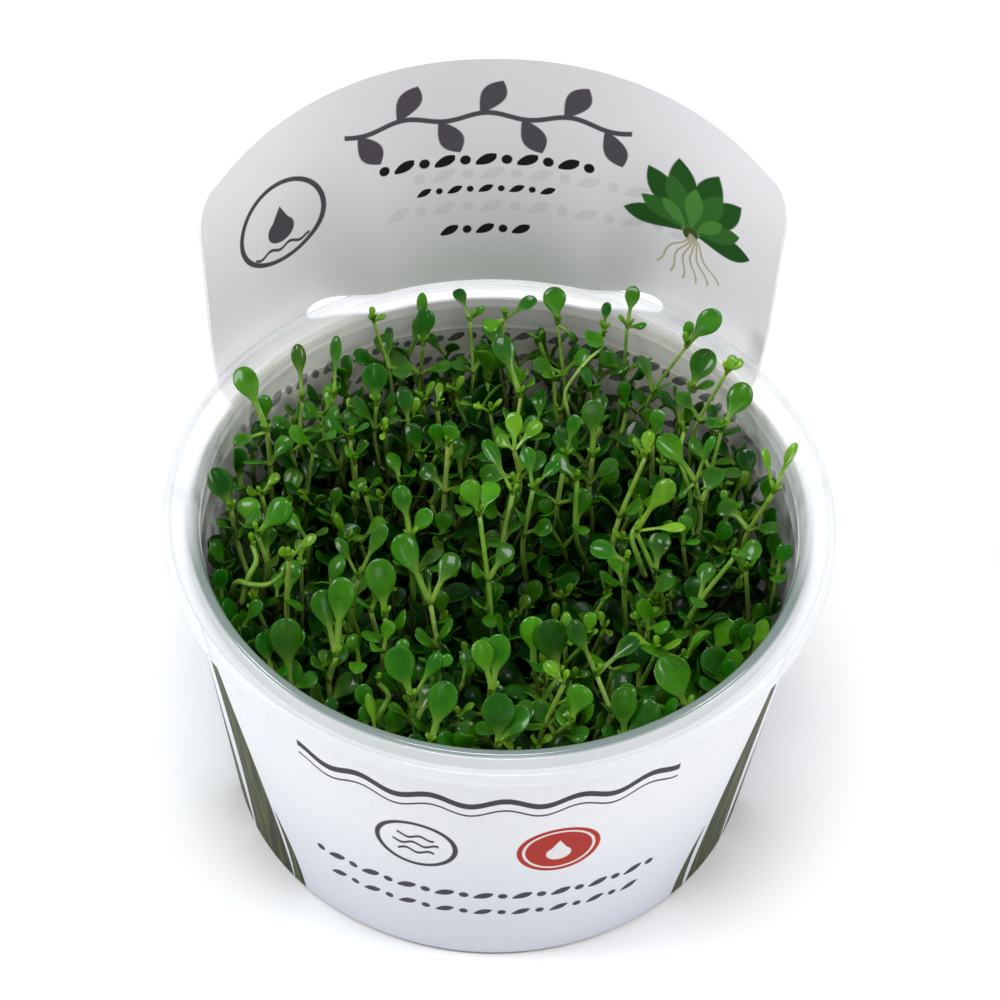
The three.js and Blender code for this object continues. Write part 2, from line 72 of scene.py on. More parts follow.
# The leading plantlets of the CAD: head, foot, leaves as heading, pitch, length, width and
# roll, and 1 where it is young
PLANTLETS = (
    # Along the card
    ((-11, 29, 46.5), (-11.5, 27.5), ((85, 60, 5, 2.5), (95, 50, 7, 1.4))),
    ((-5, 32.5, 48), (-5.5, 29.5), ((115, 15, 5, 1.7, -10), (35, 30, 2.6, 1.1, 15))),
    ((-0.5, 33, 48), (0.5, 30), ((25, 25, 5, 1.9, 15), (220, 5, 3.5, 2.2, -25))),
    ((6.5, 32.5, 48), (8.5, 28), ((105, 45, 5, 3), (330, -25, 3.5, 1.1, 10))),
    ((12.5, 32, 47.5), (11.5, 28), ((80, 55, 4, 1.3), (235, 5, 3.5, 2.9, -25))),
    ((15.5, 30.5, 50), (15, 27), ((80, 45, 5.5, 1.9), (340, 30, 3, 1.2, 15))),
    ((23, 25.5, 52), (19, 24.5), ((25, 45, 6.5, 3.1, 30), (80, 60, 3.5, 1.4))),
    ((24, 23.5, 46), (22.5, 21.5), ((50, 50, 6, 3.3, 20), (355, 30, 3.5, 1.6))),
    ((28, 19.5, 53.5), (24.5, 19), ((60, 40, 2.6, 1.3, 10), (30, 30, 2.8, 1.3, 20)), 1),
    ((-17.5, 29.5, 50), (-15, 27), ((25, 20, 1.8, 1, 10), (180, 60, 1.4, 0.8, -15)), 1),
    # Left side
    ((-22, 19, 46.5), (-22, 18.5), ((90, 45, 8, 1.5),)),
    ((-26, 18, 46.5), (-25.5, 16.5), ((100, 45, 7.5, 1.9),)),
    ((-30, 11.5, 47.5), (-29.5, 10), ((125, 40, 9, 3, -20), (215, 5, 5, 1.8))),
    ((-33.5, -1.5, 47), (-31, -3.5), ((135, 55, 6, 3.1, -25),)),
    ((-25.5, -11.5, 49.5), (-25.5, -13.5), ((20, 45, 5, 1.4, 20), (175, 65, 2.4, 1.3, -40)), 1),
    ((-31.5, -15.5, 40), (-26.5, -16), ((30, 55, 5.5, 1.9, 20),)),
    ((-24.5, -25, 41), (-20, -24), ((100, 60, 9.5, 4), (15, 30, 4, 2.3, 10))),
    ((-19, -22.5, 45), (-19, -24), ((115, 50, 8.5, 3.2, -15), (85, 55, 10, 3.4))),
    ((-17, -11, 46), (-17, -11.5), ((140, 50, 6, 1.5, -10), (45, 55, 8, 2, 15))),
    # Middle
    ((-16.5, 19, 45.5), (-16, 18), ((100, 55, 5.5, 3.3),)),
    ((2, 21, 46), (2, 19), ((120, 40, 8.5, 3, -15),)),
    ((1.5, 4, 46), (1, 3), ((135, 45, 8, 1.9, -20),)),
    ((4, 4.5, 46.5), (4, 2), ((105, 40, 5.5, 2), (30, 40, 5, 1.7, 20))),
    ((-2.5, -2, 48.5), (0, -11.5), ((130, 55, 5, 2.9, -20), (70, 15, 5, 2.5, 10))),
    ((-11, -4, 46), (-10.5, -5.5), ((115, 55, 7, 2.4, -10), (40, 45, 4.5, 2.3, 20))),
    ((-8, -14.5, 46), (-7, -17), ((130, 45, 9.5, 3.4, -20), (60, 35, 7, 2.7, 15), (100, 40, 4.5, 0.9))),
    ((9.5, 6, 47), (12, 4), ((155, 35, 4.5, 2.3, -25),)),
    ((18, 8.5, 49), (14.5, 1.5), ((80, 45, 3.5, 1.7), (130, 35, 3, 1, -10)), 1),
    ((17, -3, 48), (21.5, -5.5), ((350, 20, 6.5, 1.4, 20), (30, 55, 8.5, 2.8, 30)), 1),
    ((24.5, 7, 46.5), (25.5, 5.5), ((155, 45, 8, 3, -30), (60, 50, 6.5, 1.2), (225, -20, 3, 0.9))),
    # Right side
    ((28, 17, 45.5), (27, 15.5), ((55, 40, 7, 3.2, 20), (185, 40, 2.8, 1.6, -20))),
    ((34, 3, 49.5), (31, 3), ((60, 40, 7, 1.3), (115, 50, 6, 1.1)), 1),
    ((29, -7.5, 49), (23, -12), ((355, 35, 4, 2.7, 40),)),
    ((31.5, -16, 38), (25.5, -18), ((60, 60, 7, 1.9, 15),), 1),
    # Front edge
    ((-13.5, -32.5, 41), (-10.5, -29), ((110, 55, 6.5, 1.3),), 1),
    ((-7, -34.5, 44), (-6, -30.5), ((70, 50, 8, 3.5, 10),)),
    ((-9.5, -30, 46.5), (-8.5, -30), ((130, 60, 7.5, 3.6, -25), (45, 50, 7, 2, 10))),
    ((0, -28, 46), (0.5, -30), ((120, 55, 7, 2.6, -15), (80, 55, 7.5, 3.1))),
    ((1, -35, 45), (1.5, -31), ((95, 65, 7, 3.9), (35, 50, 6, 3.2, 30))),
    ((8.5, -28.5, 49), (6, -30.5), ((140, 25, 3.5, 1.7, -20),), 1),
    ((9.5, -32.5, 47), (7.5, -30), ((60, 60, 5, 3.4, 15),)),
    ((12.5, -24.5, 46), (13, -26), ((140, 55, 8, 2.5, -20), (25, 40, 7, 2.3, 15))),
    ((16, -31.5, 42.5), (13.5, -28), ((100, 60, 7, 3.2), (30, 50, 6.5, 3.7, 30))),
    ((23.5, -26, 42), (20, -23.5), ((135, 50, 7.5, 4.3, -25),)),
)

# Some lower ones between them, which belong to the carpet
BETWEEN = (
    ((-30, -4.5, 46), (-29.5, -5), ((30, 40, 6, 3.3, 35),)),
    ((16, -6, 45.5), (16.5, -7.5), ((165, 15, 5, 2.5, -30),)),
    ((29, -20, 38), (23.5, -20.5), ((135, 50, 6.5, 3.7, -25),)),
    ((8, 10.5, 46), (8, 9.5), ((70, 55, 6, 1.8, 10),)),
    ((11.5, 11.5, 45.5), (12, 11), ((95, 55, 7.5, 2.9),)),
    ((-13.5, -16, 45), (-13.5, -17), ((105, 55, 7.5, 3.7, -10),)),
    ((8, -24, 45), (8.5, -25.5), ((120, 60, 7.5, 4.3, -20),)),
    ((1.5, 11, 46.5), (1, 9.5), ((95, 45, 5, 2.2), (40, 30, 5, 1.9, 15), (160, 35, 3, 2, -20)), 1),
    ((-7, 11, 47), (-7.5, 8), ((45, 70, 3, 2.5, 25),)),
)

# Pale bent stems that lie over the carpet, each as points from its free end down into it
RUNNERS = (
    ((-25.6, -10.9, 48.4), (-26.4, -10.4, 45.6), (-28.3, -10.6, 43.7), (-30.4, -10.3, 43.2),
     (-32.3, -9.0, 42), (-33.4, -7.5, 37)),
    ((12.6, 31.6, 47.2), (12.2, 29.4, 47), (10.6, 27.7, 46.5), (9.1, 25.5, 46),
     (7.8, 23.6, 44.5), (8.1, 22.3, 43), (9.4, 21.8, 38)),
    ((23.1, 15.6, 46.5), (22.6, 12.6, 45.5), (23.3, 10.4, 44), (24.3, 9.6, 41), (24.2, 9, 36)),
    ((-30.5, -6.2, 46), (-29.9, -8, 45), (-30.8, -9.4, 43.4), (-31.7, -10.1, 39)),
    ((17.6, 0.4, 46.5), (16.6, -1.6, 45.6), (17.4, -3.2, 43.6), (18.6, -3.4, 40)),
    ((-13.6, -27.2, 46), (-12.4, -27.6, 44), (-13.4, -28.4, 41), (-12.8, -28.2, 36)),
)

rng = np.random.default_rng(11)


def smooth(x, low, high):
    """An eased step, from 0 at low to 1 at high."""
    t = np.clip((np.asarray(x, float) - low) / (high - low), 0, 1)
    return t * t * (3 - 2 * t)


def mix(a, b, t):
    return a + (b - a) * t


def turns(sides):
    """So many even angles round a circle, in radians."""
    return np.arange(sides) * 2 * math.pi / sides


def sleeve_outside(z):
    """Radius of the sleeve's outside at a height."""
    return SLEEVE_FOOT_RADIUS + SLEEVE_TAPER * z


def cup_outside(z):
    return sleeve_outside(z) - SLEEVE_THICKNESS - CLEARANCE


def cup_inside(z):
    """Radius of the cup's inside at a height under the ledge."""
    return cup_outside(z) - CUP_WALL


def hollow_bell(x, y):
    """1 in the middle of the carpet's hollow, and less and less round it."""
    return math.exp(-x * x / HOLLOW_SPREAD[0] - (y + 1) ** 2 / HOLLOW_SPREAD[1])


def carpet_top(x, y):
    """Height of the carpet's top."""
    radius = math.hypot(x, y) / CARPET_RADIUS
    tufts = CARPET_TUFTS * math.sin(x * 0.31 + 0.6) * math.sin(y * 0.27 - 0.4)
    towards_card = CARPET_CARD_DROP * smooth(y, 12, 34)
    hollow = CARPET_HOLLOW * hollow_bell(x, y)
    return CARPET_HEIGHT + tufts - CARPET_EDGE_DROP * radius ** 6 - towards_card - hollow


def srgb(red, green, blue):
    """A colour given as on a screen, 0 to 255, in linear light."""
    return tuple(
        c / 12.92 if c <= 0.04045 else ((c + 0.055) / 1.055) ** 2.4
        for c in (red / 255, green / 255, blue / 255)
    )


def add_object(name, data):
    """A new object, put into the scene."""
    made = bpy.data.objects.new(name, data)
    bpy.context.scene.collection.objects.link(made)
    return made


# Camera
RIM_PIXEL = (500.2, 507.4)
CAMERA_DISTANCE = 420.0
CAMERA_ELEVATION = 48.46
CAMERA_ROLL = 2.51
FOCAL_PIXELS = 3367.0
SENSOR_WIDTH = 36.0
FRAME_PIXELS = 1000.0


def make_camera():
    """The photo's camera. It looks at the middle of the rim, and is turned a little so that this
    point falls on the pixel where the photo has it."""
    data = bpy.data.cameras.new("camera")
    data.sensor_width = SENSOR_WIDTH
    data.lens = SENSOR_WIDTH * FOCAL_PIXELS / FRAME_PIXELS
    data.clip_start = 0.01
    data.clip_end = 20
    elevation = math.radians(CAMERA_ELEVATION)
    back = Vector((0, -math.cos(elevation), math.sin(elevation)))
    place = Vector((0, 0, RIM_HEIGHT * MM)) + back * CAMERA_DISTANCE * MM
    turn = Matrix.Rotation(math.pi / 2 - elevation, 3, "X")
    roll = Matrix.Rotation(math.radians(CAMERA_ROLL), 3, "Z")
    middle = FRAME_PIXELS / 2
    tilt = Matrix.Rotation((RIM_PIXEL[1] - middle) / FOCAL_PIXELS, 3, "X")
    pan = Matrix.Rotation((RIM_PIXEL[0] - middle) / FOCAL_PIXELS, 3, "Y")
    camera = add_object("camera", data)
    camera.matrix_world = Matrix.Translation(place) @ (turn @ roll @ tilt @ pan).to_4x4()
    bpy.context.scene.camera = camera


# Meshes
def make_object(name, points, quads, tris, material, attributes=None, sharp=None):
    """A mesh object from points in mm, with smooth faces and edges sharp past an angle."""
    points = np.asarray(points, float).reshape(-1, 3) * MM
    faces = [*np.asarray(quads, int).reshape(-1, 4).tolist(),
             *np.asarray(tris, int).reshape(-1, 3).tolist()]
    mesh = bpy.data.meshes.new(name)
    mesh.from_pydata(points.tolist(), [], faces)
    mesh.validate()
    mesh.polygons.foreach_set("use_smooth", np.ones(len(faces), bool))
    for label, values in (attributes or {}).items():
        kind, field = ("FLOAT_COLOR", "color") if len(values[0]) == 4 else ("FLOAT_VECTOR", "vector")
        layer = mesh.attributes.new(label, kind, "POINT")
        layer.data.foreach_set(field, np.asarray(values, np.float32).ravel())
    if sharp is not None:
        mesh.set_sharp_from_angle(angle=math.radians(sharp))
    mesh.materials.append(material)
    made = add_object(name, mesh)
    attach(made, "root")
    return made


def rounded(profile, steps=4):
    """A closed [radius, height, fillet] profile with its corners rounded."""
    out = []
    count = len(profile)
    for k, (r, z, fillet) in enumerate(profile):
        corner = np.array([r, z], float)
        if not fillet:
            out.append(corner)
            continue
        before = np.array(profile[k - 1][:2], float) - corner
        after = np.array(profile[(k + 1) % count][:2], float) - corner
        reach = min(fillet, 0.49 * np.linalg.norm(before), 0.49 * np.linalg.norm(after))
        a = corner + before / np.linalg.norm(before) * reach
        b = corner + after / np.linalg.norm(after) * reach
        for t in np.linspace(0, 1, steps):
            out.append((1 - t) ** 2 * a + 2 * t * (1 - t) * corner + t * t * b)
    return out


def turned(profile, sides):
    """A profile from axis to axis turned about the vertical: points, quads, tris."""
    points, rings = [], []
    for r, z in profile:
        if r < 1e-6:
            rings.append([len(points)])
            points.append((0, 0, z))
            continue
        rings.append(list(range(len(points), len(points) + sides)))
        points += list(zip(r * np.cos(turns(sides)), r * np.sin(turns(sides)), np.full(sides, z)))
    quads, tris = [], []
    for near, far in zip(rings, rings[1:]):
        for s in range(sides):
            t = (s + 1) % sides
            if len(near) == 1:
                tris.append((near[0], far[t], far[s]))
            elif len(far) == 1:
                tris.append((near[s], near[t], far[0]))
            else:
                quads.append((near[s], near[t], far[t], far[s]))
    return points, quads, tris


# Node helpers
class Nodes:
    """Short ways to write a material's nodes. An input is a socket, a number or a colour."""

    def __init__(self, name):
        self.material = bpy.data.materials.new(name)
        self.material.use_nodes = True
        self.tree = self.material.node_tree
        self.shader = self.tree.nodes["Principled BSDF"]
        self.point = self.node("ShaderNodeTexCoord").outputs["Object"]

    def put(self, socket, value):
        """Links a socket, or sets a value."""
        if isinstance(value, bpy.types.NodeSocket):
            self.tree.links.new(value, socket)
        elif isinstance(value, (tuple, list)) and socket.type == "RGBA":
            socket.default_value = (*value[:3], 1)
        else:
            socket.default_value = value

    def node(self, kind, inputs=None, **settings):
        made = self.tree.nodes.new(kind)
        for key, value in settings.items():
            setattr(made, key, value)
        for key, value in (inputs or {}).items():
            self.put(made.inputs[key], value)
        return made

    def math(self, operation, *values, clamp=False):
        made = self.node("ShaderNodeMath", operation=operation, use_clamp=clamp)
        for k, value in enumerate(values):
            self.put(made.inputs[k], value)
        return made.outputs[0]

    def add(self, a, b):
        return self.math("ADD", a, b)

    def sub(self, a, b):
        return self.math("SUBTRACT", a, b)

    def mul(self, a, b):
        return self.math("MULTIPLY", a, b)

    def mul_add(self, value, by, plus):
        return self.math("MULTIPLY_ADD", value, by, plus)

    def size(self, value):
        return self.math("ABSOLUTE", value)

    def mix(self, factor, a, b, blend="MIX"):
        made = self.node("ShaderNodeMix", data_type="RGBA", blend_type=blend)
        self.put(made.inputs[0], factor)
        self.put(made.inputs[6], a)
        self.put(made.inputs[7], b)
        return made.outputs[2]

    def tinge(self, amount, colour, by):
        """A colour that is partly multiplied by another."""
        return self.mix(amount, colour, self.mix(1.0, colour, by, "MULTIPLY"))

    def range(self, value, low, high, to_low=0.0, to_high=1.0, kind="SMOOTHSTEP"):
        made = self.node("ShaderNodeMapRange", interpolation_type=kind)
        for k, v in enumerate((value, low, high, to_low, to_high)):
            self.put(made.inputs[k], v)
        return made.outputs[0]

    def noise(self, scale, detail=3.0, vector=None, roughness=0.5):
        made = self.node("ShaderNodeTexNoise", {"Scale": scale, "Detail": detail, "Roughness": roughness})
        if vector is not None:
            self.put(made.inputs["Vector"], vector)
        return made.outputs[0]

    def attribute(self, name, output="Vector"):
        return self.node("ShaderNodeAttribute", attribute_name=name).outputs[output]

    def split(self, vector):
        return self.node("ShaderNodeSeparateXYZ", {0: vector}).outputs

    def bump(self, height, strength, distance, normal=None):
        inputs = {"Height": height, "Strength": strength, "Distance": distance}
        made = self.node("ShaderNodeBump", inputs)
        if normal is not None:
            self.put(made.inputs["Normal"], normal)
        return made.outputs[0]

    def finish(self, **inputs):
        for key, value in inputs.items():
            self.put(self.shader.inputs[key.replace("_", " ")], value)
        return self.material


# Plant material
def plant_material():
    """Leaves and stems: the tint of each point, mottled, with faint veins and a wet gloss."""
    n = Nodes("plant")
    tint = n.attribute("tint", "Color")
    place = n.split(n.attribute("place"))
    across, along, blade = place[0], place[1], place[2]
    mottle = n.noise(420.0, 4.0, n.point)
    coarse = n.noise(120.0, 2.0, n.point)
    colour = n.tinge(n.range(mottle, 0.35, 0.7), tint, (0.62, 0.72, 0.5))
    edge = n.mul(n.range(n.size(across), 0.86, 1.0), blade)
    colour = n.tinge(n.mul(edge, 0.45), colour, (0.35, 0.45, 0.3))
    colour = n.tinge(n.range(coarse, 0.5, 0.75, 0.0, 0.35), colour, (1.35, 1.15, 0.9))
    spread = n.math("DIVIDE", across, n.math("MAXIMUM", n.math("SINE", n.mul(along, math.pi)), 0.2))
    vein = n.math("COSINE", n.mul(spread, 3 * math.pi))
    vein = n.mul(n.range(vein, 0.75, 1.0), blade)
    colour = n.tinge(n.mul(vein, 0.22), colour, (1.5, 1.35, 1.2))
    # Painted shade on the gloss: the coat fades deeper in the carpet, where its reflections would be
    # shaded
    open_air = n.range(n.split(n.point)[2], 0.030, 0.044, 0.1, 1.0)
    cells = n.noise(2600.0, 2.0, n.point)
    height = n.add(n.mul(cells, 0.5), n.mul(vein, -0.6))
    normal = n.bump(height, 0.4, 0.00012, n.bump(mottle, 0.4, 0.0004))
    return n.finish(
        Base_Color=colour,
        Roughness=n.range(coarse, 0.3, 0.7, 0.3, 0.46),
        IOR=1.45,
        Specular_IOR_Level=0.1,
        Subsurface_Weight=0.1,
        Subsurface_Radius=(0.6, 1.0, 0.1),
        Subsurface_Scale=0.0006,
        Coat_Weight=n.mul(open_air, 0.4),
        Coat_Roughness=0.12,
        Normal=normal,
    )


# Plants
LEAF_DARK = np.array(srgb(6, 56, 1))
LEAF_MID = np.array(srgb(24, 98, 2))
LEAF_LIGHT = np.array(srgb(72, 142, 12))
LEAF_YOUNG = np.array(srgb(126, 168, 36))
STALK_PALE = np.array(srgb(136, 170, 70))
STEM_GREEN = np.array(srgb(140, 166, 82))
STEM_BROWN = np.array(srgb(92, 62, 40))

# Half a stalk's width is a share of its leaf's width, between the two ends of a span
PETIOLE_SHARE = 0.135
PETIOLE_HALF = (0.24, 0.46)
LEAF_THICK = 0.2
LEAF_WIDEST = 0.64
STEM_SIDES = 6
UP = np.array([0, 0, 1.0])

# Where the rings of a leaf stand along it, from 0 to 1, and how many sides a ring has
FINE = (np.array([0, 0.1, 0.24, 0.36, 0.46, 0.55, 0.64, 0.73, 0.82, 0.89, 0.945, 0.985]), 12)
PLAIN = (np.array([0, 0.2, 0.38, 0.52, 0.66, 0.8, 0.91, 0.98]), 8)


class Batch:
    """Leaves and stems that become one mesh."""

    def __init__(self):
        self.points, self.tints, self.places = [], [], []
        self.quads, self.tris = [], []
        self.count = 0

    def tube(self, rings, tints, places, tip):
        """Rings (rings, sides, 3) joined to a closed skin that ends at a tip point."""
        many, sides = rings.shape[:2]
        index = self.count + np.arange(many * sides).reshape(many, sides)
        turned_index = np.roll(index, -1, axis=1)
        quads = np.stack([index[:-1], turned_index[:-1], turned_index[1:], index[1:]], axis=-1)
        self.quads.append(quads.reshape(-1, 4))
        last = self.count + many * sides
        fan = [index[-1], turned_index[-1], np.full(sides, last)]
        foot = [turned_index[0], index[0], np.full(sides, last + 1)]
        self.tris += [np.stack(fan, axis=-1), np.stack(foot, axis=-1)]
        self.points += [rings.reshape(-1, 3), np.array([tip, rings[0].mean(axis=0)])]
        self.tints += [tints.reshape(-1, 3), np.array([tints[-1, 0], tints[0, 0]])]
        self.places += [places.reshape(-1, 3), np.array([places[-1, 0], places[0, 0]])]
        self.count += many * sides + 2

    def make(self, name, material, node):
        tints = np.concatenate(self.tints)
        tints = np.concatenate([tints, np.ones((len(tints), 1))], axis=1)
        made = make_object(name, np.concatenate(self.points), np.concatenate(self.quads),
                           np.concatenate(self.tris), material,
                           {"tint": tints, "place": np.concatenate(self.places)})
        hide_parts(node)


def leaf_line(base, heading, pitch, droop, length, shares):
    """Centreline of a leaf and its tangent angles."""
    steps = np.concatenate([shares, [1.0]])
    angle = np.radians(pitch - droop * steps ** 1.5)
    middle = (angle[1:] + angle[:-1]) / 2
    gap = np.diff(steps) * length
    out = np.concatenate([[0], np.cumsum(np.cos(middle) * gap)])
    rise = np.concatenate([[0], np.cumsum(np.sin(middle) * gap)])
    h = math.radians(heading)
    ahead = np.array([math.cos(h), math.sin(h), 0.0])
    line = np.asarray(base, float) + out[:, None] * ahead + rise[:, None] * UP
    return line, angle, ahead


def lit(z):
    """Painted shade: how much of its colour a leaf or stem keeps, from the deep of the carpet, where the
    plants above shade it, to its top.
    """
    return 0.42 + 0.58 * smooth(z, 30, 45)


def leaf_tint(tone, young):
    if tone < 0.5:
        body = mix(LEAF_DARK, LEAF_MID, tone * 2)
    else:
        body = mix(LEAF_MID, LEAF_LIGHT, tone * 2 - 1)
    return mix(body, LEAF_YOUNG, young)


def leaf_form(shares, stalk, width):
    """Along a leaf: how far up the blade it is, how full the blade, half its width and depth."""
    along = np.clip((shares - stalk) / (1 - stalk), 0, 1)
    rise = np.sin(np.minimum(along / LEAF_WIDEST, 1) * math.pi / 2) ** 1.5
    fall = np.sqrt(np.clip(1 - (np.maximum(along - LEAF_WIDEST, 0) / (1 - LEAF_WIDEST)) ** 2, 0, 1))
    blade = rise * fall
    petiole = float(np.clip(PETIOLE_SHARE * width, *PETIOLE_HALF))
    half = np.maximum(petiole * (1 - 0.1 * np.minimum(shares / stalk, 1)), width / 2 * blade)
    deep = mix(petiole * 0.7, LEAF_THICK, np.minimum(1, blade * 1.5)) * np.maximum(fall, 0.3)
    return along, blade, half, deep


def leaf_tints(shares, stalk, blade, across, over, tone, young, shade):
    """Tints round a leaf's rings, with a paler stalk and rim and a lighter underside, all darkened by the
    painted shade that it is given.
    """
    stalky = (1 - smooth(shares, stalk * 0.5, stalk + 0.34))[:, None, None]
    rim = (smooth(np.abs(across), 0.75, 1.0)[None, :] * (blade > 0.15)[:, None])[..., None]
    under = (over < -0.2)[None, :, None]
    pale = mix(STALK_PALE, LEAF_YOUNG, young)
    tints = np.broadcast_to(leaf_tint(tone, young) * shade, (len(shares), len(across), 3))
    tints = np.where(under, mix(tints, LEAF_LIGHT, 0.25), tints)
    tints = mix(tints, LEAF_LIGHT * 1.2 * shade, rim * 0.3)
    return mix(tints, pale * mix(shade, 1.0, 0.3), stalky * 0.72)


def add_leaf(batch, base, heading, pitch, droop, length, width, *, cup, tone, young, stalk,
             roll=0.0, detail=FINE):
    shares, sides = detail
    line, angle, ahead = leaf_line(base, heading, pitch, droop, length, shares)
    tip, line, angle = line[-1], line[:-1], angle[:-1]
    along, blade, half, deep = leaf_form(shares, stalk, width)
    across, over = np.cos(turns(sides)), np.sin(turns(sides))
    side = np.array([-ahead[1], ahead[0], 0.0])
    normal = -np.sin(angle)[:, None] * ahead + np.cos(angle)[:, None] * UP
    spin = np.radians(roll * shares)[:, None]
    side_now = np.cos(spin) * side + np.sin(spin) * normal
    normal_now = np.cos(spin) * normal - np.sin(spin) * side
    hollow = cup * half[:, None] * np.abs(across) ** 2.2
    rings = (line[:, None, :]
             + side_now[:, None, :] * (half[:, None] * across)[..., None]
             + normal_now[:, None, :] * (deep[:, None] * over + hollow)[..., None])
    # Painted shade: the deeper the leaf's base stands in the carpet, the darker its tints
    tints = leaf_tints(shares, stalk, blade, across, over, tone, young, float(lit(base[2])))
    places = np.stack(np.broadcast_arrays(
        across[None, :], along[:, None], (blade > 0.2)[:, None] * 1.0), axis=-1)
    # The rings turn right-handed about the way that the leaf grows
    batch.tube(rings[:, ::-1], tints[:, ::-1], places[:, ::-1], tip)


def curve_through(points, count):
    """A smooth line of so many points through a few given ones."""
    p = np.asarray(points, float)
    p = np.concatenate([[2 * p[0] - p[1]], p, [2 * p[-1] - p[-2]]])
    out = []
    spans = len(p) - 3
    for s in np.linspace(0, spans, count):
        k = min(int(s), spans - 1)
        t = s - k
        a, b, c, d = p[k:k + 4]
        out.append(0.5 * (2 * b + (c - a) * t + (2 * a - 5 * b + 4 * c - d) * t * t
                          + (3 * b - a - 3 * c + d) * t ** 3))
    return np.array(out)


def girth(y):
    """Radius of a leading stem. Those by the card are the thinnest."""
    return 0.4 - 0.12 * smooth(y, 8, 24)


def add_stem(batch, points, radius, young, count, green=1.0):
    """A stem through a few points, and its centreline."""
    line = curve_through(points, count)
    along = np.gradient(line, axis=0)
    along /= np.linalg.norm(along, axis=1)[:, None]
    side = np.cross(along, np.array([0.1, 0.9, 0.0]))
    side /= np.linalg.norm(side, axis=1)[:, None]
    front = np.cross(along, side)
    turn = turns(STEM_SIDES)
    thick = radius * np.linspace(1.0, 0.78, count)
    rings = line[:, None, :] + thick[:, None, None] * (
        side[:, None, :] * np.cos(turn)[None, :, None] + front[:, None, :] * np.sin(turn)[None, :, None])
    low = (1 - smooth(line[:, 2], 26, 38))[:, None, None]
    greener = 0.3 + 0.3 * math.sin(2.3 * line[0, 0] + 3.1 * line[0, 1])
    body = mix(mix(STEM_GREEN, LEAF_LIGHT, greener * green), LEAF_YOUNG, young * 0.5)
    tints = np.broadcast_to(body, rings.shape)
    # Browner towards the foot, and painted shade: darker the deeper it stands in the carpet
    tints = mix(tints, STEM_BROWN, low * 0.75) * lit(line[:, 2])[:, None, None]
    batch.tube(rings, tints, np.zeros(rings.shape), line[-1] + along[-1] * thick[-1] * 0.5)
    return line


class Crowd:
    """Blade centres that are already taken, so that the next leaf finds a free place."""

    REACH = 4.0

    def __init__(self, most):
        self.places = np.zeros((most, 3))
        self.count = 0

    def add(self, place):
        self.places[self.count] = place
        self.count += 1

    def room(self, place):
        """Distance to the nearest taken place, up to the reach."""
        gaps = np.linalg.norm(self.places[:self.count] - place, axis=1)
        return gaps.min(initial=self.REACH)


MOST_PLACES = 9000
crowd = Crowd(MOST_PLACES)


# How far leaves may reach over the rim, and how far leaves and stems stay off the walls
OVER_RIM = 41.0
MOUTH_GAP = 0.5
LEAF_GAP = 0.4
STEM_GAP = 1.2


def wall_radius(z):
    """How far out a leaf may reach at a height."""
    if z > RIM_HEIGHT - 1:
        return OVER_RIM
    if z > LEDGE_HEIGHT:
        return MOUTH_RADIUS - MOUTH_GAP
    return cup_inside(z) - LEAF_GAP


def held_in(x, y, z):
    """A point, moved towards the axis where it would be in the cup's wall."""
    limit = cup_inside(min(z, LEDGE_HEIGHT)) - STEM_GAP
    share = min(1.0, limit / max(1e-6, math.hypot(x, y)))
    return np.array([x * share, y * share, z])


# Degrees that a try turns from the wished heading, and the room and reach that a leaf needs
SWAY = 16
LEAST_ROOM = 0.8
MOST_OUT = 0.6


def placed_leaf(batch, base, heading, pitch, droop, length, width, tries, **look):
    """The leaf in the freest of a few directions near the wished one, clear of the wall. Where
    none is free, it is left out."""
    best = None
    for k in range(tries):
        h = heading + (rng.normal(0, SWAY) if k else 0)
        p = min(88, pitch + (rng.normal(0, SWAY * 0.7) if k else 0))
        line, _, _ = leaf_line(base, h, p, droop, length, np.array([0, 0.35, 0.7]))
        centre, tip = line[2], line[3]
        out = max(math.hypot(q[0], q[1]) + width * 0.25 - wall_radius(q[2]) for q in (centre, tip))
        score = crowd.room(centre) - 8 * max(0, out)
        if best is None or score > best[0]:
            best = (score, h, p, centre, out)
    score, h, p, centre, out = best
    if out <= MOST_OUT and score >= LEAST_ROOM:
        crowd.add(centre)
        add_leaf(batch, base, h, p, droop, length, width, **look)


def toned(tone, spread):
    """A tone from 0 to 1, varied a little."""
    return float(np.clip(rng.normal(tone, spread), 0, 1))


def add_pair(batch, joint, heading, length, width, pitch=68, droop=36, young=0.0, tone=0.5,
             detail=FINE, tries=7):
    for turn in (0, 180):
        grow = rng.uniform(0.85, 1.1)
        placed_leaf(
            batch, joint, heading + turn + rng.normal(0, 8), pitch + rng.normal(0, 9),
            droop + rng.normal(0, 12), length * grow, width * grow, tries,
            cup=rng.uniform(-0.3, 0.55), roll=rng.normal(0, 26), young=young,
            tone=toned(tone, 0.16), stalk=rng.uniform(0.2, 0.36), detail=detail)


def add_buds(batch, joint, heading, young=0.5):
    """The tiny next pair of leaves, still folded upright."""
    for turn in (0, 180):
        size = rng.uniform(1.3, 2.3)
        add_leaf(batch, joint, heading + 90 + turn, rng.uniform(66, 84), rng.uniform(5, 30), size,
                 size * 0.42, cup=0.3, young=young, tone=0.7, stalk=0.25, detail=PLAIN)


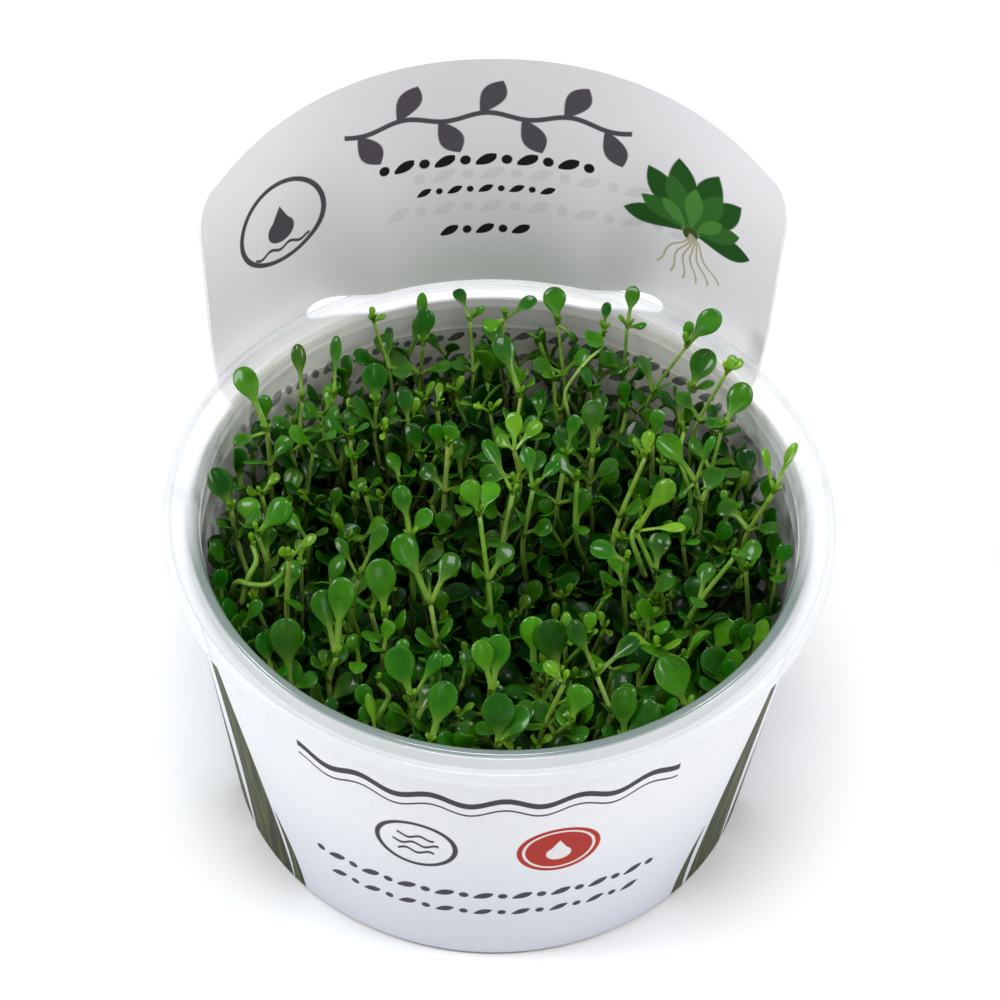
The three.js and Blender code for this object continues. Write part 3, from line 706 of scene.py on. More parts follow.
def grow_plantlet(batch, head, foot, leaves, young=0):
    """One plantlet from the bed up to its head, with its leaves and a lower pair."""
    top = np.array(head, float)
    root = np.array([*foot, carpet_top(*foot) - 3])
    bend = (root + top) / 2
    bend[:2] = (bend[:2] + np.array(foot, float)) / 2
    bend[:2] += rng.normal(0, 0.9, 2)
    deep = held_in(*(root + np.array([(foot[0] - top[0]) * 0.3, (foot[1] - top[1]) * 0.3, -12.0])))
    steps = 16
    line = add_stem(batch, [deep, root, bend, top], girth(top[1]), 0.8 if young else 0.1, steps)
    for heading, pitch, length, width, *roll in leaves:
        droop = rng.uniform(10, 26)
        stalk = float(np.clip(1 - (1.5 * width + 0.6) / length, 0.15, 0.4))
        add_leaf(batch, top, heading, pitch + 0.4 * droop, droop, length, width * 1.04,
                 cup=rng.uniform(-0.25, 0.55), roll=roll[0] if roll else rng.normal(0, 6),
                 tone=toned(0.75 if young else 0.47, 0.17),
                 young=rng.uniform(0.3, 0.75) if young else rng.uniform(0, 0.12), stalk=stalk)
        centre, _, _ = leaf_line(top, heading, pitch + 0.4 * droop, droop, length, np.array([0, 0.65]))
        crowd.add(centre[1])
    if len(leaves) < 3:
        add_buds(batch, top, leaves[0][0], 0.8 if young else 0.5)
    for p in line[steps // 2:]:
        crowd.add(p)
    lower = line[-5]
    if lower[2] > 34:
        add_pair(batch, lower, leaves[0][0] + 90, 5.2, 2.8, pitch=62, young=0.1, tone=0.4, tries=3)


def make_plantlets(material):
    """Each leading plantlet is a mesh of its own, in the place of the CAD's."""
    for number, spec in enumerate(PLANTLETS, 1):
        batch = Batch()
        grow_plantlet(batch, *spec)
        batch.make(f"plantlet_{number:02d}_fine", material, f"plantlet_{number:02d}")


CANOPY_STEMS = 275
UNDER_STEMS = 165
EDGE_STEMS = 46
GOLDEN_ANGLE = 137.508
SECTORS = 6

# Shares of the canopy's stems: those that rise over the others, and those that the middle of
# the hollow does without
LEADING = 0.34
THINNED = 0.34


def spiral(count, radius, jitter):
    """Places spread evenly over a disc, from the middle out, each moved a little."""
    for k in range(count):
        r = radius * math.sqrt((k + 0.5) / count)
        a = math.radians(k * GOLDEN_ANGLE)
        yield (r * math.cos(a) + rng.normal(0, jitter), r * math.sin(a) + rng.normal(0, jitter))


def add_runner(batch, path):
    """A bent stem with buds at its free end."""
    y = path[0][1]
    add_stem(batch, path[::-1], girth(y), 0.15, 24, green=1 - smooth(y, 10, 25))
    add_buds(batch, np.array(path[0], float), rng.uniform(0, 360))


def add_canopy_stem(batch, x, y):
    """A stem of the carpet's top: a pair of leaves at its head, and up to two pairs below."""
    leading = rng.random() < LEADING
    height = carpet_top(x, y) + (rng.uniform(1.0, 5.5) if leading else rng.uniform(-8, 1.5))
    # Taller by the card, and at the back left
    height += 4.5 * smooth(y, 18, 28) * math.exp(-((x - 1) / 15) ** 4)
    height += 3.5 * math.exp(-((x + 24) / 8) ** 2 - ((y - 15) / 9) ** 2)
    lean = rng.normal(0, 1.6, 2)
    top = np.array([x, y, height])
    foot = held_in(x * 0.96 + lean[0] * 1.5, y * 0.96 + lean[1] * 1.5, 21.0)
    bend = (top + foot) / 2 + np.array([*rng.normal(0, 0.9, 2), 0])
    line = add_stem(batch, [foot, bend, top], rng.uniform(0.3, 0.42), rng.uniform(0, 0.4), 13)
    heading = rng.uniform(0, 360)
    fresh = rng.random() < 0.25 + 0.2 * smooth(x + y, 10, 40)
    size = rng.uniform(4.3, 6.7)
    first = size * (rng.uniform(0.5, 0.75) if fresh else rng.uniform(0.75, 1.0))
    narrow = rng.uniform(0.34, 0.44) if fresh else rng.uniform(0.42, 0.56)
    narrow *= 1 - 0.18 * smooth(y, 4, 26)
    add_pair(batch, top, heading, first, first * narrow, pitch=72, droop=34,
             young=rng.uniform(0.3, 0.8) if fresh else rng.uniform(0, 0.15),
             tone=rng.uniform(0.4, 0.75))
    if fresh or rng.random() < 0.4:
        add_buds(batch, top, heading)
    for step in (1, 2):
        if rng.random() < 0.28 * step:
            continue
        joint = line[-1 - (4 if leading else 3) * step]
        add_pair(batch, joint, heading + 90 * step, size, size * rng.uniform(0.5, 0.6),
                 pitch=66, droop=36, tone=rng.uniform(0.2, 0.6) - 0.12 * step)


def add_edge_stem(batch, turn):
    """A stem along the cup's wall, with two pairs of leaves."""
    r = CARPET_RADIUS + rng.uniform(0.4, 1.6)
    ahead = np.array([math.cos(turn), math.sin(turn)])
    top = np.array([*ahead * r, rng.uniform(35.5, 42.5)])
    foot = held_in(*ahead * (r - 1), 20.0)
    bend = held_in(*ahead * (r - 0.3) + rng.normal(0, 0.7, 2), 31.0)
    line = add_stem(batch, [foot, bend, top], rng.uniform(0.26, 0.36), rng.uniform(0, 0.5), 9)
    heading = math.degrees(turn) + rng.uniform(50, 130)
    size = rng.uniform(4.2, 6.4)
    add_pair(batch, top, heading, size, size * 0.46, pitch=74, droop=24, tone=rng.uniform(0.3, 0.7))
    add_pair(batch, line[5], heading + 80, size, size * 0.5, pitch=70, droop=30, tone=0.3)


def add_under_stem(batch, x, y):
    """A short dark stem under the others, with two pairs of leaves that close the gaps."""
    height = min(34.5, carpet_top(x, y) - 6) - rng.uniform(0, 7)
    top = np.array([x, y, height])
    foot = held_in(x + rng.normal(0, 2), y + rng.normal(0, 2), 15.0)
    line = add_stem(batch, [foot, (foot + top) / 2, top], 0.36, 0.0, 5)
    heading = rng.uniform(0, 360)
    size = rng.uniform(5.0, 7.5)
    for step in (0, 1):
        add_pair(batch, line[-1 - step], heading + 90 * step, size, size * 0.54, pitch=54,
                 droop=40, tone=0.0, detail=PLAIN, tries=4)


def make_carpet(material):
    """The plants of the carpet, as one mesh for each sector of the cup."""
    batches = [Batch() for _ in range(SECTORS)]

    def batch_at(x, y):
        share = (math.atan2(y, x) / (2 * math.pi)) % 1.0
        return batches[int(share * SECTORS) % SECTORS]

    for spec in BETWEEN:
        grow_plantlet(batch_at(*spec[1]), *spec)
    for path in RUNNERS:
        add_runner(batch_at(*path[0][:2]), path)
    for x, y in spiral(CANOPY_STEMS, CARPET_RADIUS + 0.8, 1.1):
        inside = math.hypot(x, y) <= CARPET_RADIUS + 1.4
        if inside and rng.random() >= THINNED * hollow_bell(x, y):
            add_canopy_stem(batch_at(x, y), x, y)
    for k in range(EDGE_STEMS):
        turn = 2 * math.pi * (k + rng.uniform(-0.3, 0.3)) / EDGE_STEMS
        add_edge_stem(batch_at(math.cos(turn), math.sin(turn)), turn)
    for x, y in spiral(UNDER_STEMS, CARPET_RADIUS - 0.5, 1.0):
        add_under_stem(batch_at(x, y), x, y)
    for k, batch in enumerate(batches, 1):
        batch.make(f"carpet_plants_{k}", material, "carpet")


# The bed under the plants, and the height of its top
BED_TOP = 18.0


def bed_material():
    n = Nodes("bed")
    strands = n.noise(260.0, 8.0, n.point, 0.7)
    patches = n.noise(90.0, 4.0, n.point)
    # Partly the old stems' and roots' own browns, and partly painted shade: the near-black stands for the
    # deep shade under the plants
    colour = n.mix(n.range(strands, 0.4, 0.65), srgb(16, 11, 8), srgb(70, 38, 24))
    colour = n.mix(n.range(patches, 0.52, 0.7, 0.0, 0.6), colour, srgb(30, 44, 16))
    return n.finish(Base_Color=colour, Roughness=0.55, Normal=n.bump(strands, 0.8, 0.0012))


def make_bed(material):
    """Old stems and roots that the plants grow out of, down to the gel."""
    low = GEL_TOP + CLEARANCE
    profile = [(r, low) for r in (0, 10, 20, 28)]
    profile += [(cup_inside(z) - CLEARANCE, z) for z in (low, 12, 14, 16)]
    profile += [(r, BED_TOP) for r in (33.5, *range(31, 3, -3), 0)]
    points, quads, tris = turned(profile, 96)
    points = np.array(points, float)
    x, y, z = points.T
    lumps = sum(np.sin(x * f + p) * np.sin(y * f * 1.1 + q) / f
                for f, p, q in ((0.45, 0.3, 1.2), (0.9, 2.1, 0.4), (1.7, 1.1, 2.6)))
    points[:, 2] += np.where(z > BED_TOP - 1, lumps, 0)
    made = make_object("carpet_bed", points, quads, tris, material)
    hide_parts("carpet")


# Cup
def plastic_material():
    """Clear, slightly milky polypropylene."""
    n = Nodes("cup_plastic")
    haze = n.noise(60.0, 3.0, n.point)
    grazing = n.node("ShaderNodeLayerWeight", {"Blend": 0.35}).outputs["Facing"]
    x, y, height = n.split(n.point)
    out = n.math("SQRT", n.mul_add(x, x, n.mul(y, y)))
    rim = n.range(height, 0.0450, 0.0462)
    clear = n.add(n.range(grazing, 0.15, 0.95, 0.05, 0.75), n.range(height, 0.0405, 0.0440, 0.0, 0.25))
    thin = n.range(y, 0.006, 0.024, 1.0, 0.45)
    facing = n.mul(n.range(out, 0.0379, 0.0388, 0.12, 0.54), thin)
    milky = n.range(grazing, 0.1, 0.85, facing, 0.94)
    # Painted shade: a dark grey-green line along the front of the mouth's inner edge, where refraction
    # shows a dark line; the band is also made less clear
    lip = n.mul(n.mul(n.range(out, 0.0394, 0.0388), n.range(y, 0.002, -0.014)), rim)
    milky = n.math("ADD", milky, n.mul(lip, 0.6), clamp=True)
    alpha = n.add(n.add(n.mul(clear, n.sub(1.0, rim)), n.mul(milky, rim)),
                  n.range(haze, 0.3, 0.7, 0.0, 0.04))
    # Painted shade: the plastic turns greyer at grazing angles, for the dark edges that refraction gives
    # clear plastic
    colour = n.mix(n.range(grazing, 0.6, 1.0), srgb(245, 247, 250), srgb(204, 210, 214))
    colour = n.mix(n.mul(lip, 0.9), colour, srgb(92, 113, 105))
    return n.finish(
        Base_Color=colour,
        Roughness=0.16,
        IOR=1.49,
        Specular_IOR_Level=0.8,
        Coat_Weight=0.35,
        Coat_Roughness=0.08,
        Alpha=alpha,
        Normal=n.bump(haze, 0.05, 0.0006),
    )


def make_cup(material):
    floor, corner, wall = 1.0, 2.2, 20
    profile = [
        (0, 0.45, 0), (29.0, 0.45, 0.3), (30.2, 0, 0.5), (32.8, 0, 0.8),
        (cup_outside(0.9), 0.9, 0.7), (cup_outside(44.5), 44.5, 0), (cup_outside(46), 46, 0.5),
        (41.2, 46, 0.3), (42, 45.7, 0.25), (42, 47.7, 0.3), (41.8, 48.1, 0.2), (41.2, 48.1, 0.2),
        (41.0, 47.75, 0.15), (39.1, 47.7, 0.15), (38.8, 48.1, 0.25), (38.0, 48.1, 0.3),
        (37.6, 47.3, 0.3), (37.6, 46.3, 0.1), (37.35, 46.1, 0.1), (37.35, 45.7, 0.1),
        (37.6, 45.5, 0.1), (37.6, 42.3, 0.1), (37.4, 42.1, 0.1), (37.4, 41.8, 0.1),
        (37.6, 41.6, 0.1), (37.5, 38.4, 0), (37.5, 37.3, 0.4),
        (cup_inside(LEDGE_HEIGHT), LEDGE_HEIGHT, 0.5), (cup_inside(wall), wall, 0),
        (cup_inside(corner), corner, 1.2), (cup_inside(floor) - 1.4, floor, 0.8),
        (20, floor, 0), (0, floor, 0),
    ]
    points, quads, tris = turned(rounded(profile, 5), 180)
    made = make_object("cup_fine", points, quads, tris, material, sharp=38)
    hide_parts("cup")


def gel_material():
    n = Nodes("nutrient_gel")
    cloud = n.noise(70.0, 4.0, n.point)
    threads = n.noise(500.0, 6.0, n.point, 0.7)
    colour = n.mix(n.range(cloud, 0.35, 0.7), srgb(214, 206, 170), srgb(196, 184, 140))
    colour = n.mix(n.range(threads, 0.6, 0.72, 0.0, 0.6), colour, srgb(236, 232, 214))
    return n.finish(Base_Color=colour, Roughness=0.12, IOR=1.34, Subsurface_Weight=0.3,
                    Subsurface_Radius=(1.0, 0.9, 0.6), Subsurface_Scale=0.003,
                    Normal=n.bump(cloud, 0.2, 0.001))


def make_gel(material):
    low = 1.35
    profile = [(0, low, 0), (cup_inside(low) - 1.8, low, 0.8), (cup_inside(3) - CLEARANCE, 3, 1.0),
               (cup_inside(GEL_TOP) - CLEARANCE, GEL_TOP, 0.5),
               (cup_inside(GEL_TOP) - 1.6, GEL_TOP - 0.35, 0.8), (0, GEL_TOP - 0.35, 0)]
    points, quads, tris = turned(rounded(profile, 4), 96)
    made = make_object("nutrient_gel_fine", points, quads, tris, material, sharp=45)
    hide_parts("nutrient_gel")


# Sleeve
def card_top(off):
    """Height of the card's top edge, at an angle off its middle."""
    arch = CARD_PEAK - CARD_ARCH * (min(off, CARD_CORNER) / CARD_CORNER) ** 2.5
    turn = max(0.0, (off - CARD_CORNER) / (CARD_HALF_ANGLE - CARD_CORNER))
    return arch - (arch - CARD_SIDE_TOP) * (1 - math.sqrt(max(0.0, 1 - turn * turn)))


def card_swing(off, z):
    """How far the card leans out past the cone of the wrap, to clear the flange."""
    full = FLANGE_RADIUS + CLEARANCE - (sleeve_outside(SLOT_MIDDLE - 1.4) - SLEEVE_THICKNESS)
    side = smooth(off, SLOT_HALF_ANGLE - 15, SLOT_HALF_ANGLE - 1)
    rise = smooth(z, 37, SLOT_MIDDLE - 1.5)
    settled = smooth(z, RIM_HEIGHT + 1, 74)
    return full * rise * mix(side, 0.5, settled)


def slot_half_height(off):
    """Half the slot's height, which ends round, and 0.5 beside it."""
    end = min(1.0, max(0.0, (off - SLOT_END) / (SLOT_HALF_ANGLE - SLOT_END)))
    return 0.5 + 1.15 * math.sqrt(1 - end * end)


# Heights of the wrap's rows, and where the card's rows stand between the slot and the top
WRAP_HEIGHTS = (SLEEVE_FOOT, 1.0, 8, 16, 24, 31, 37, 38.6, 40.2, 41.8, 43.4, SLEEVE_TOP)
CARD_SHARES = (0.06, 0.14, 0.24, 0.36, 0.5, 0.64, 0.78, 0.9, 1)


def sleeve_angles():
    """Angles of the columns, the card's first, and the last one's number on the card."""
    half = sorted({
        *np.arange(0, SLOT_END, 1.0), *np.arange(SLOT_END, 33, 0.5), 33.2, SLOT_HALF_ANGLE,
        *np.arange(34.5, CARD_CORNER, 1.0), *np.arange(CARD_CORNER, 54, 0.5),
        *np.arange(54, 55.4, 0.25), CARD_HALF_ANGLE})
    card = [-a for a in reversed(half[1:])] + half
    others = 360 - 2 * CARD_HALF_ANGLE
    rest = int(others) // 2
    step = others / rest
    return card + [CARD_HALF_ANGLE + step * (k + 1) for k in range(rest - 1)], len(card) - 1


def card_heights(off):
    """Heights of the card's rows over the wrap: the slot's two edges, and up to the top."""
    gap = slot_half_height(off)
    low = SLOT_MIDDLE + gap
    return [SLOT_MIDDLE - gap, low] + [low + (card_top(off) - low) * share for share in CARD_SHARES]


def make_sleeve(material):
    angles, last = sleeve_angles()
    columns, rows = len(angles), len(WRAP_HEIGHTS) + 2 + len(CARD_SHARES)
    points, outer, inner, faces_of = [], [], [], []
    for column, angle in enumerate(angles):
        off, on_card = abs(angle), column <= last
        turn = math.radians(angle + CARD_CENTRE)
        outer.append([])
        inner.append([])
        for z in [*WRAP_HEIGHTS, *(card_heights(off) if on_card else [])]:
            r = sleeve_outside(z) + (card_swing(off, z) if on_card else 0)
            for skin, radius, face in ((outer, r, 1), (inner, r - SLEEVE_THICKNESS, 0)):
                skin[column].append(len(points))
                points.append((radius * math.sin(turn), radius * math.cos(turn), z))
                faces_of.append((face, 0, 0))

    def filled(column, row):
        if row < 0 or row >= rows - 1:
            return False
        if row < len(WRAP_HEIGHTS) - 1:
            return True
        at = column % columns
        if at >= last:
            return False
        middle = abs(angles[at] + angles[at + 1]) / 2
        return not (row == len(WRAP_HEIGHTS) and middle < SLOT_HALF_ANGLE)

    quads = []
    for column, row in ((c, r) for c in range(columns) for r in range(rows - 1) if filled(c, r)):
        after = (column + 1) % columns
        low, high = outer[column][row:row + 2]
        low_in, high_in = inner[column][row:row + 2]
        low_after, high_after = outer[after][row:row + 2]
        low_in_after, high_in_after = inner[after][row:row + 2]
        quads += [(low, high, high_after, low_after), (low_in, low_in_after, high_in_after, high_in)]
        edges = (
            (column, row - 1, (low, low_after, low_in_after, low_in)),
            (column, row + 1, (high, high_in, high_in_after, high_after)),
            (column - 1, row, (low, low_in, high_in, high)),
            (column + 1, row, (low_after, high_after, high_in_after, low_in_after)),
        )
        quads += [quad for beside, level, quad in edges if not filled(beside, level)]
    made = make_object("sleeve_card", points, quads, [], material, {"face": faces_of}, sharp=45)
    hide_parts("sleeve")


class Ink(Nodes):
    """Printed shapes. A spot is a vector of u along the card and v up it, in mm. A shape is a
    distance, negative inside, and paint() lays colours where their shapes are."""

    EDGE = 0.07

    def combine(self, u, v):
        return self.node("ShaderNodeCombineXYZ", {0: u, 1: v}).outputs[0]

    def local(self, spot, at, turn=0.0, scale=(1, 1)):
        """u and v from a shape's middle, along and across its own line."""
        made = self.node("ShaderNodeMapping", {
            "Vector": spot, "Location": (*at, 0), "Rotation": (0, 0, math.radians(turn)),
            "Scale": (*scale, 1)}, vector_type="TEXTURE")
        return self.split(made.outputs[0])

    def disc(self, spot, at, radius):
        made = self.node("ShaderNodeVectorMath", {0: spot, 1: (*at, 0)}, operation="DISTANCE")
        return self.sub(made.outputs["Value"], radius)

    def ring(self, spot, at, radius, width):
        return self.sub(self.size(self.disc(spot, at, radius)), width / 2)

    def leaf(self, spot, at, turn, half_length, half_width, egg=0.45):
        x, y, _ = self.local(spot, at, turn, (half_length, half_width))
        lens = self.mul_add(x, x, -1.0)
        wide = self.mul_add(self.math("SINE", x), egg, 1.0)
        return self.mul_add(lens, wide, self.size(y))

    def wave(self, u, v, height, swing, length, width, start=0.0):
        phase = self.mul_add(u, 2 * math.pi / length, start)
        line = self.mul_add(self.math("SINE", phase), swing, height)
        return self.sub(self.size(self.sub(v, line)), width / 2)

    def within(self, shape, u, half, middle=0.0):
        """A shape cut off at both ends of a span."""
        off = self.size(self.sub(u, middle) if middle else u)
        return self.math("MAXIMUM", shape, self.sub(off, half))

    def either(self, *shapes):
        whole = shapes[0]
        for shape in shapes[1:]:
            whole = self.math("MINIMUM", whole, shape)
        return whole

    def repeat(self, u, pitch):
        """u within its own cell of a row, and 1 in every second cell."""
        inside = self.math("WRAP", u, pitch / 2, -pitch / 2)
        cell = self.math("ROUND", self.math("DIVIDE", u, pitch))
        return inside, self.size(self.math("MODULO", cell, 2.0))

    def choose(self, which, a, b):
        return self.mul_add(self.sub(b, a), which, a)

    def paint(self, base, side, *layers):
        """Lays each (shape, colour) or (shape, colour, strength) over the base. The side is 1 on
        the face that carries the print, and 0 elsewhere."""
        for shape, colour, *strength in layers:
            cover = self.range(shape, self.EDGE, -self.EDGE, 0.0, *strength, kind="LINEAR")
            base = self.mix(self.mul(cover, side), base, colour)
        return base


INK_DARK = srgb(26, 26, 28)
INK_GREY = srgb(84, 78, 86)
INK_RED = srgb(178, 34, 14)
INK_OLIVE = srgb(30, 38, 10)
INK_LEAF = srgb(58, 112, 46)
INK_ROOT = srgb(196, 184, 150)
INK_CROWN = srgb(70, 92, 40)
INK_PALE = srgb(238, 236, 236)
INK_RIB = srgb(98, 104, 58)
INK_WRAP = srgb(58, 56, 64)
INK_MOSS = srgb(78, 86, 38)
INK_GHOST = srgb(150, 156, 160)

# Radii at which the prints are measured round the axis, in mm
WRAP_RADIUS = 37.0
LINING_RADIUS = 38.0
CARD_RADIUS = 42.0

# Places on the standing card, as u and v, and the tuft's leaves as (heading, length) by shade
BADGE = (-27.5, 64.5)
TUFT = (27.0, 61.0)
TUFT_LEAVES = (
    (srgb(40, 88, 34), ((8, 4.2), (172, 4.2), (52, 5.0), (128, 5.0), (76, 5.4), (104, 5.4))),
    (INK_LEAF, ((28, 3.6), (152, 3.6), (66, 4.2), (114, 4.2))),
    (srgb(84, 140, 62), ((44, 2.6), (136, 2.6), (90, 3.4))),
)


def whole_cells(half_span, pitch):
    """The nearest half span that ends between two cells of a row."""
    return (round(half_span / pitch - 0.5) + 0.5) * pitch


def garland(ink, u, v, height, half_span, pitch, leaf_half):
    """A wavy stalk with leaves on both sides in turn."""
    half_span = whole_cells(half_span, pitch)
    cell, odd = ink.repeat(u, pitch)
    spot = ink.combine(cell, v)
    stalk = ink.wave(u, v, height, 0.5, pitch * 2, 0.75, math.pi / 2)
    up = ink.leaf(spot, (0.5, height + leaf_half * 0.95), 62, leaf_half, leaf_half * 0.5)
    down = ink.leaf(spot, (0.5, height - leaf_half * 0.95), -62, leaf_half, leaf_half * 0.5)
    return ink.within(ink.either(stalk, ink.choose(odd, up, down)), u, half_span)


def bead_rows(ink, u, v, rows, middle=0.0):
    """Rows of small leaves and dots in turn, each as (height, half span, pitch, size)."""
    if middle:
        u = ink.sub(u, middle)
    shapes = []
    for height, half_span, pitch, size in rows:
        cell, odd = ink.repeat(u, pitch)
        spot = ink.combine(cell, v)
        seed = ink.leaf(spot, (0, height), 25, size * 1.5, size * 0.62, 0.2)
        dot = ink.disc(spot, (0, height), size * 0.6)
        shapes.append(ink.within(ink.choose(odd, seed, dot), u, whole_cells(half_span, pitch)))
    return ink.either(*shapes)


def drop(ink, spot, at, radius):
    """A drop of water, its tip up."""
    du, dv, _ = ink.local(spot, at)
    cone = ink.mul_add(dv, 0.5, ink.sub(ink.size(du), radius))
    tip = ink.math("MAXIMUM", cone, ink.sub(radius * 0.45, dv))
    return ink.either(ink.disc(spot, at, radius), tip)


def blades(ink, u, v, specs):
    """Long pointed leaves from the foot of the wrap, as (foot, lean, top, half width), with
    the lines of their midribs."""
    shapes, ribs = [], []
    for foot, lean, top, half in specs:
        share = ink.math("DIVIDE", v, float(top))
        line = ink.mul_add(ink.mul(share, share), lean, foot)
        taper = ink.math("POWER", ink.math("SUBTRACT", 1.0, share, clamp=True), 0.7)
        off = ink.size(ink.sub(u, line))
        below = ink.sub(v, float(top))
        inside = ink.mul_add(taper, -float(half), off)
        shapes.append(ink.math("MAXIMUM", inside, below))
        ribs.append(ink.math("MAXIMUM", ink.sub(off, 0.14), ink.add(below, top * 0.14)))
    return ink.either(*shapes), ink.either(*ribs)


# The blades round the wrap, as blades() takes them
FRONT_BLADES = (
    (-35, -9.0, 45, 5.2), (-45, -4.0, 38, 4.0), (-28.5, -3.0, 15, 1.2),
    (37, 8.0, 45, 4.6), (46, 5.0, 38, 3.8), (30.5, 2.5, 14, 1.2),
    (-86, 4.0, 38, 2.0), (86, -4.0, 40, 2.2), (-93, -3.0, 30, 1.6), (93.5, 3.0, 32, 1.8),
)


def wrap_print(ink, base, u, v, outside):
    """The outside of the wrap: a wave band, two badges, two rows, and blades round the sides."""
    spot = ink.combine(u, v)
    grey, red = (-8.5, 26.6), (9.0, 26.6)
    band = ink.within(ink.either(ink.wave(u, v, 38.6, 0.8, 8.6, 1.25),
                                 ink.wave(u, v, 36.4, 0.8, 8.6, 0.4)), u, 23.5)
    ripples = ink.either(*(
        ink.within(ink.wave(u, v, height, 0.35, 2.9, 0.55, start), u, half, grey[0])
        for height, half, start in ((28.3, 2.3, 0.0), (26.6, 2.9, 1.9), (24.9, 2.3, 3.8))))
    rows = bead_rows(ink, u, v, ((15.6, 23.75, 2.5, 1.05), (11.4, 21.25, 2.5, 0.95)))
    dark = ink.either(band, ink.ring(spot, grey, 4.9, 0.65), ripples, rows)
    pale = ink.either(ink.ring(spot, red, 4.35, 0.35), drop(ink, spot, (9.0, 25.7), 1.55))
    blade, rib = blades(ink, u, v, FRONT_BLADES)
    streaks = ink.noise(1.0, 3.0, ink.combine(ink.mul(u, 1.4), ink.mul(v, 0.07)))
    olive = ink.mix(ink.range(streaks, 0.38, 0.66), INK_OLIVE, INK_MOSS)
    return ink.paint(base, outside, (dark, INK_WRAP), (ink.disc(spot, red, 5.2), INK_RED),
                     (pale, INK_PALE), (blade, olive), (rib, INK_RIB, 0.7))


def lining_print(ink, base, u, v, inside):
    """The inside of the wrap, which shows through the clear cup: rows of small marks on a ground with a
    warm painted tint of light bounced from the plants.
    """
    lines = ((39.2, 44.0), (35.6, 46.0), (32.0, 42.0), (28.4, 45.0))
    rows = bead_rows(ink, u, v, ((height, half, 2.2, 0.9) for height, half in lines), 2.0)
    # Painted bounce light: the lining's white is tinted warm, as by light thrown on it by the plants
    bounce_tinted = ink.mix(inside, base, srgb(240, 235, 219))
    return ink.paint(bounce_tinted, inside, (rows, INK_DARK))


def card_painted_shade(ink, base, u, v, front):
    """The front's tone, with painted shade: greyer in the middle, and greener low down, where the plants
    shade it and throw green light on it.
    """
    middle = ink.mul(ink.range(ink.size(u), 36.0, 4.0), front)
    base = ink.mix(ink.mul(front, 0.8), base, srgb(255, 250, 254))
    base = ink.mix(ink.mul(middle, 0.6), base, srgb(218, 215, 218))
    low = ink.mul(ink.range(v, 76.0, 50.0), middle)
    return ink.mix(ink.mul(low, 0.6), base, srgb(193, 199, 189))


def tuft_layers(ink, spot):
    """A green tuft of leaves with its roots, as layers to paint."""
    layers = []
    for shade, leaves in TUFT_LEAVES:
        shapes = []
        for turn, length in leaves:
            away, angle = length + 0.8, math.radians(turn)
            at = (TUFT[0] + away * math.cos(angle), TUFT[1] + away * math.sin(angle))
            shapes.append(ink.leaf(spot, at, turn, length, length * 0.36))
        layers.append((ink.either(*shapes), shade))
    roots = []
    for lean in (-34, -18, -4, 10, 24, 38):
        x, y, _ = ink.local(spot, TUFT, -90 + lean)
        curl = ink.mul(ink.math("SINE", ink.mul(x, 1.1)), 0.35)
        root = ink.sub(ink.size(ink.sub(y, curl)), 0.15)
        roots.append(ink.within(root, x, 3.9, 3.9))
    return [*layers, (ink.disc(spot, TUFT, 1.1), INK_CROWN), (ink.either(*roots), INK_ROOT)]


def card_print(ink, base, u, v, front, back):
    """Both faces of the standing card."""
    spot = ink.combine(u, v)
    # Painted shade on the front: greyer in the middle and greener low down
    base = card_painted_shade(ink, base, u, v, front)
    ghost = bead_rows(ink, u, v, ((64.8, 17.0, 3.1, 1.2), (60.0, 20.0, 3.1, 1.2)), 7.0)
    ripple = ink.within(ink.wave(u, v, 60.3, 0.3, 3.0, 0.5), u, 4.2, BADGE[0])
    grey = ink.either(garland(ink, u, v, 73.4, 17.85, 5.1, 2.9), ink.ring(spot, BADGE, 6.3, 0.7),
                      drop(ink, spot, (BADGE[0], 63.2), 2.0), ripple)
    rows = bead_rows(ink, u, v, ((66.9, 14.3, 2.6, 1.15), (62.6, 9.0, 2.0, 0.75), (56.6, 6.0, 2.4, 1.0)))
    base = ink.paint(base, front, (ghost, INK_GHOST, 0.2), (grey, INK_GREY), (rows, INK_DARK),
                     *tuft_layers(ink, spot))
    lines = ((64.0, 24.0), (60.6, 24.0), (57.2, 18.0))
    rows = bead_rows(ink, u, v, ((height, half, 2.6, 0.95) for height, half in lines))
    leaves = garland(ink, u, v, 72.0, 21.0, 6.4, 2.8)
    return ink.paint(base, back, (leaves, INK_LEAF), (rows, INK_GREY))


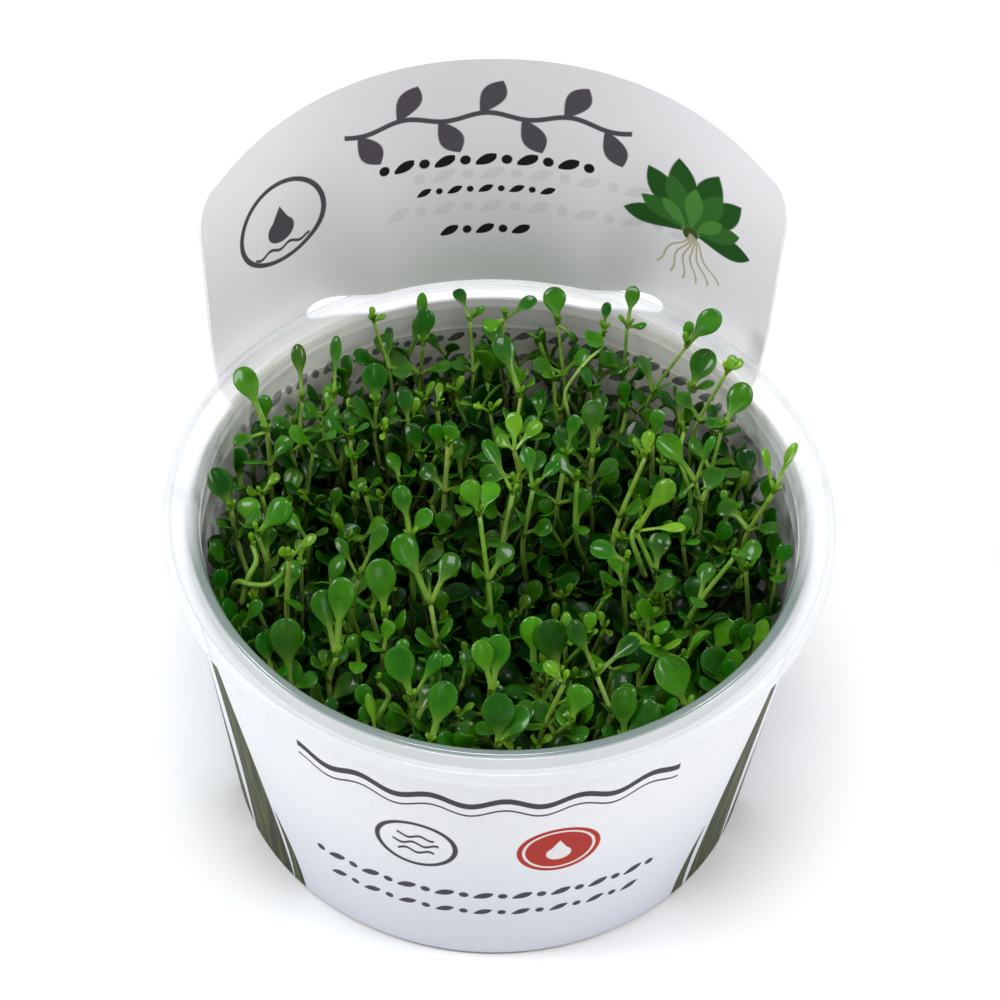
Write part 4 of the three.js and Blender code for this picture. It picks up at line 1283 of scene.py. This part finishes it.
def card_material():
    """White card, printed on both faces. The attribute is 1 on the face away from the plants."""
    ink = Ink("printed_card")
    scaled = ink.node("ShaderNodeVectorMath", {0: ink.point, 1: (1000, 1000, 1000)}, operation="MULTIPLY")
    x, y, v = ink.split(scaled.outputs[0])
    face = ink.split(ink.attribute("face"))[0]
    other = ink.sub(1.0, face)
    above = ink.math("GREATER_THAN", v, SLEEVE_TOP + 0.3)
    below = ink.sub(1.0, above)
    round_front = ink.mul(ink.math("ARCTAN2", x, ink.mul(y, -1.0)), WRAP_RADIUS)
    round_back = ink.math("ARCTAN2", x, y)
    round_card = ink.mul(ink.sub(round_back, math.radians(CARD_CENTRE)), CARD_RADIUS)
    fibres = ink.noise(3500.0, 4.0, ink.point, 0.6)
    white = ink.mix(ink.range(fibres, 0.3, 0.7), srgb(248, 249, 251), srgb(243, 244, 247))
    # Painted shade: the outside of the wrap turns a bluish grey towards its foot
    low = ink.mul(ink.range(v, 36.0, 0.0), face)
    white = ink.mix(low, white, srgb(214, 218, 228))
    white = wrap_print(ink, white, round_front, v, ink.mul(face, below))
    white = lining_print(ink, white, ink.mul(round_back, LINING_RADIUS), v, ink.mul(other, below))
    white = card_print(ink, white, round_card, v, ink.mul(other, above), ink.mul(face, above))
    return ink.finish(Base_Color=white, Roughness=0.5, Specular_IOR_Level=0.12,
                      Coat_Weight=0.02, Coat_Roughness=0.2,
                      Normal=ink.bump(fibres, 0.06, 0.00005))


# Stage and light, in metres
FLOOR_REACH = 3.0
FLOOR_LEVEL = -0.0002
COOL = (0.97, 0.985, 1.0)
WHITE = (1, 1, 1)
WORLD_STRENGTH = 0.27

# Each light's name, place, the height on the axis that it's aimed at, size, power and colour
LIGHTS = (
    ("top", (-0.05, -0.25, 1.6), 0.04, (0.65, 0.5), 14.1, COOL),
    ("left", (-0.9, -0.1, 0.8), 0.05, (0.35, 0.35), 5.6, COOL),
    ("right", (0.9, -0.15, 0.8), 0.05, (0.35, 0.35), 4.8, WHITE),
    ("front", (0.2, -1.2, 1.0), 0.06, (0.4, 0.4), 1.2, WHITE),
)


def make_stage():
    n = Nodes("stage")
    grain = n.noise(30.0, 2.0, n.point)
    colour = n.mix(n.range(grain, 0.3, 0.7), (0.93, 0.93, 0.93), (0.95, 0.95, 0.95))
    material = n.finish(Base_Color=colour, Roughness=0.8)
    mesh = bpy.data.meshes.new("floor")
    corners = [(x * FLOOR_REACH, y * FLOOR_REACH, 0) for x, y in ((-1, -1), (1, -1), (1, 1), (-1, 1))]
    mesh.from_pydata(corners, [], [(0, 1, 2, 3)])
    mesh.materials.append(material)
    floor = add_object("floor", mesh)
    floor.location.z = FLOOR_LEVEL


def area_light(name, place, aim_height, size, power, colour):
    """A soft light aimed at a point of the vertical axis."""
    data = bpy.data.lights.new(name, "AREA")
    data.shape = "RECTANGLE"
    data.size, data.size_y = size
    data.energy = power
    data.color = colour
    light = add_object(name, data)
    light.location = place
    aim = Vector((0, 0, aim_height)) - Vector(place)
    light.rotation_euler = aim.to_track_quat("-Z", "Y").to_euler()


def make_light():
    world = bpy.data.worlds.new("world")
    bpy.context.scene.world = world
    world.use_nodes = True
    background = world.node_tree.nodes["Background"]
    background.inputs[0].default_value = (*COOL, 1)
    background.inputs[1].default_value = WORLD_STRENGTH
    for light in LIGHTS:
        area_light(*light)
    bpy.context.scene.view_settings.view_transform = "Standard"


make_camera()
plant = plant_material()
make_plantlets(plant)
make_carpet(plant)
make_bed(bed_material())
make_cup(plastic_material())
make_gel(gel_material())
make_sleeve(card_material())
make_stage()
make_light()
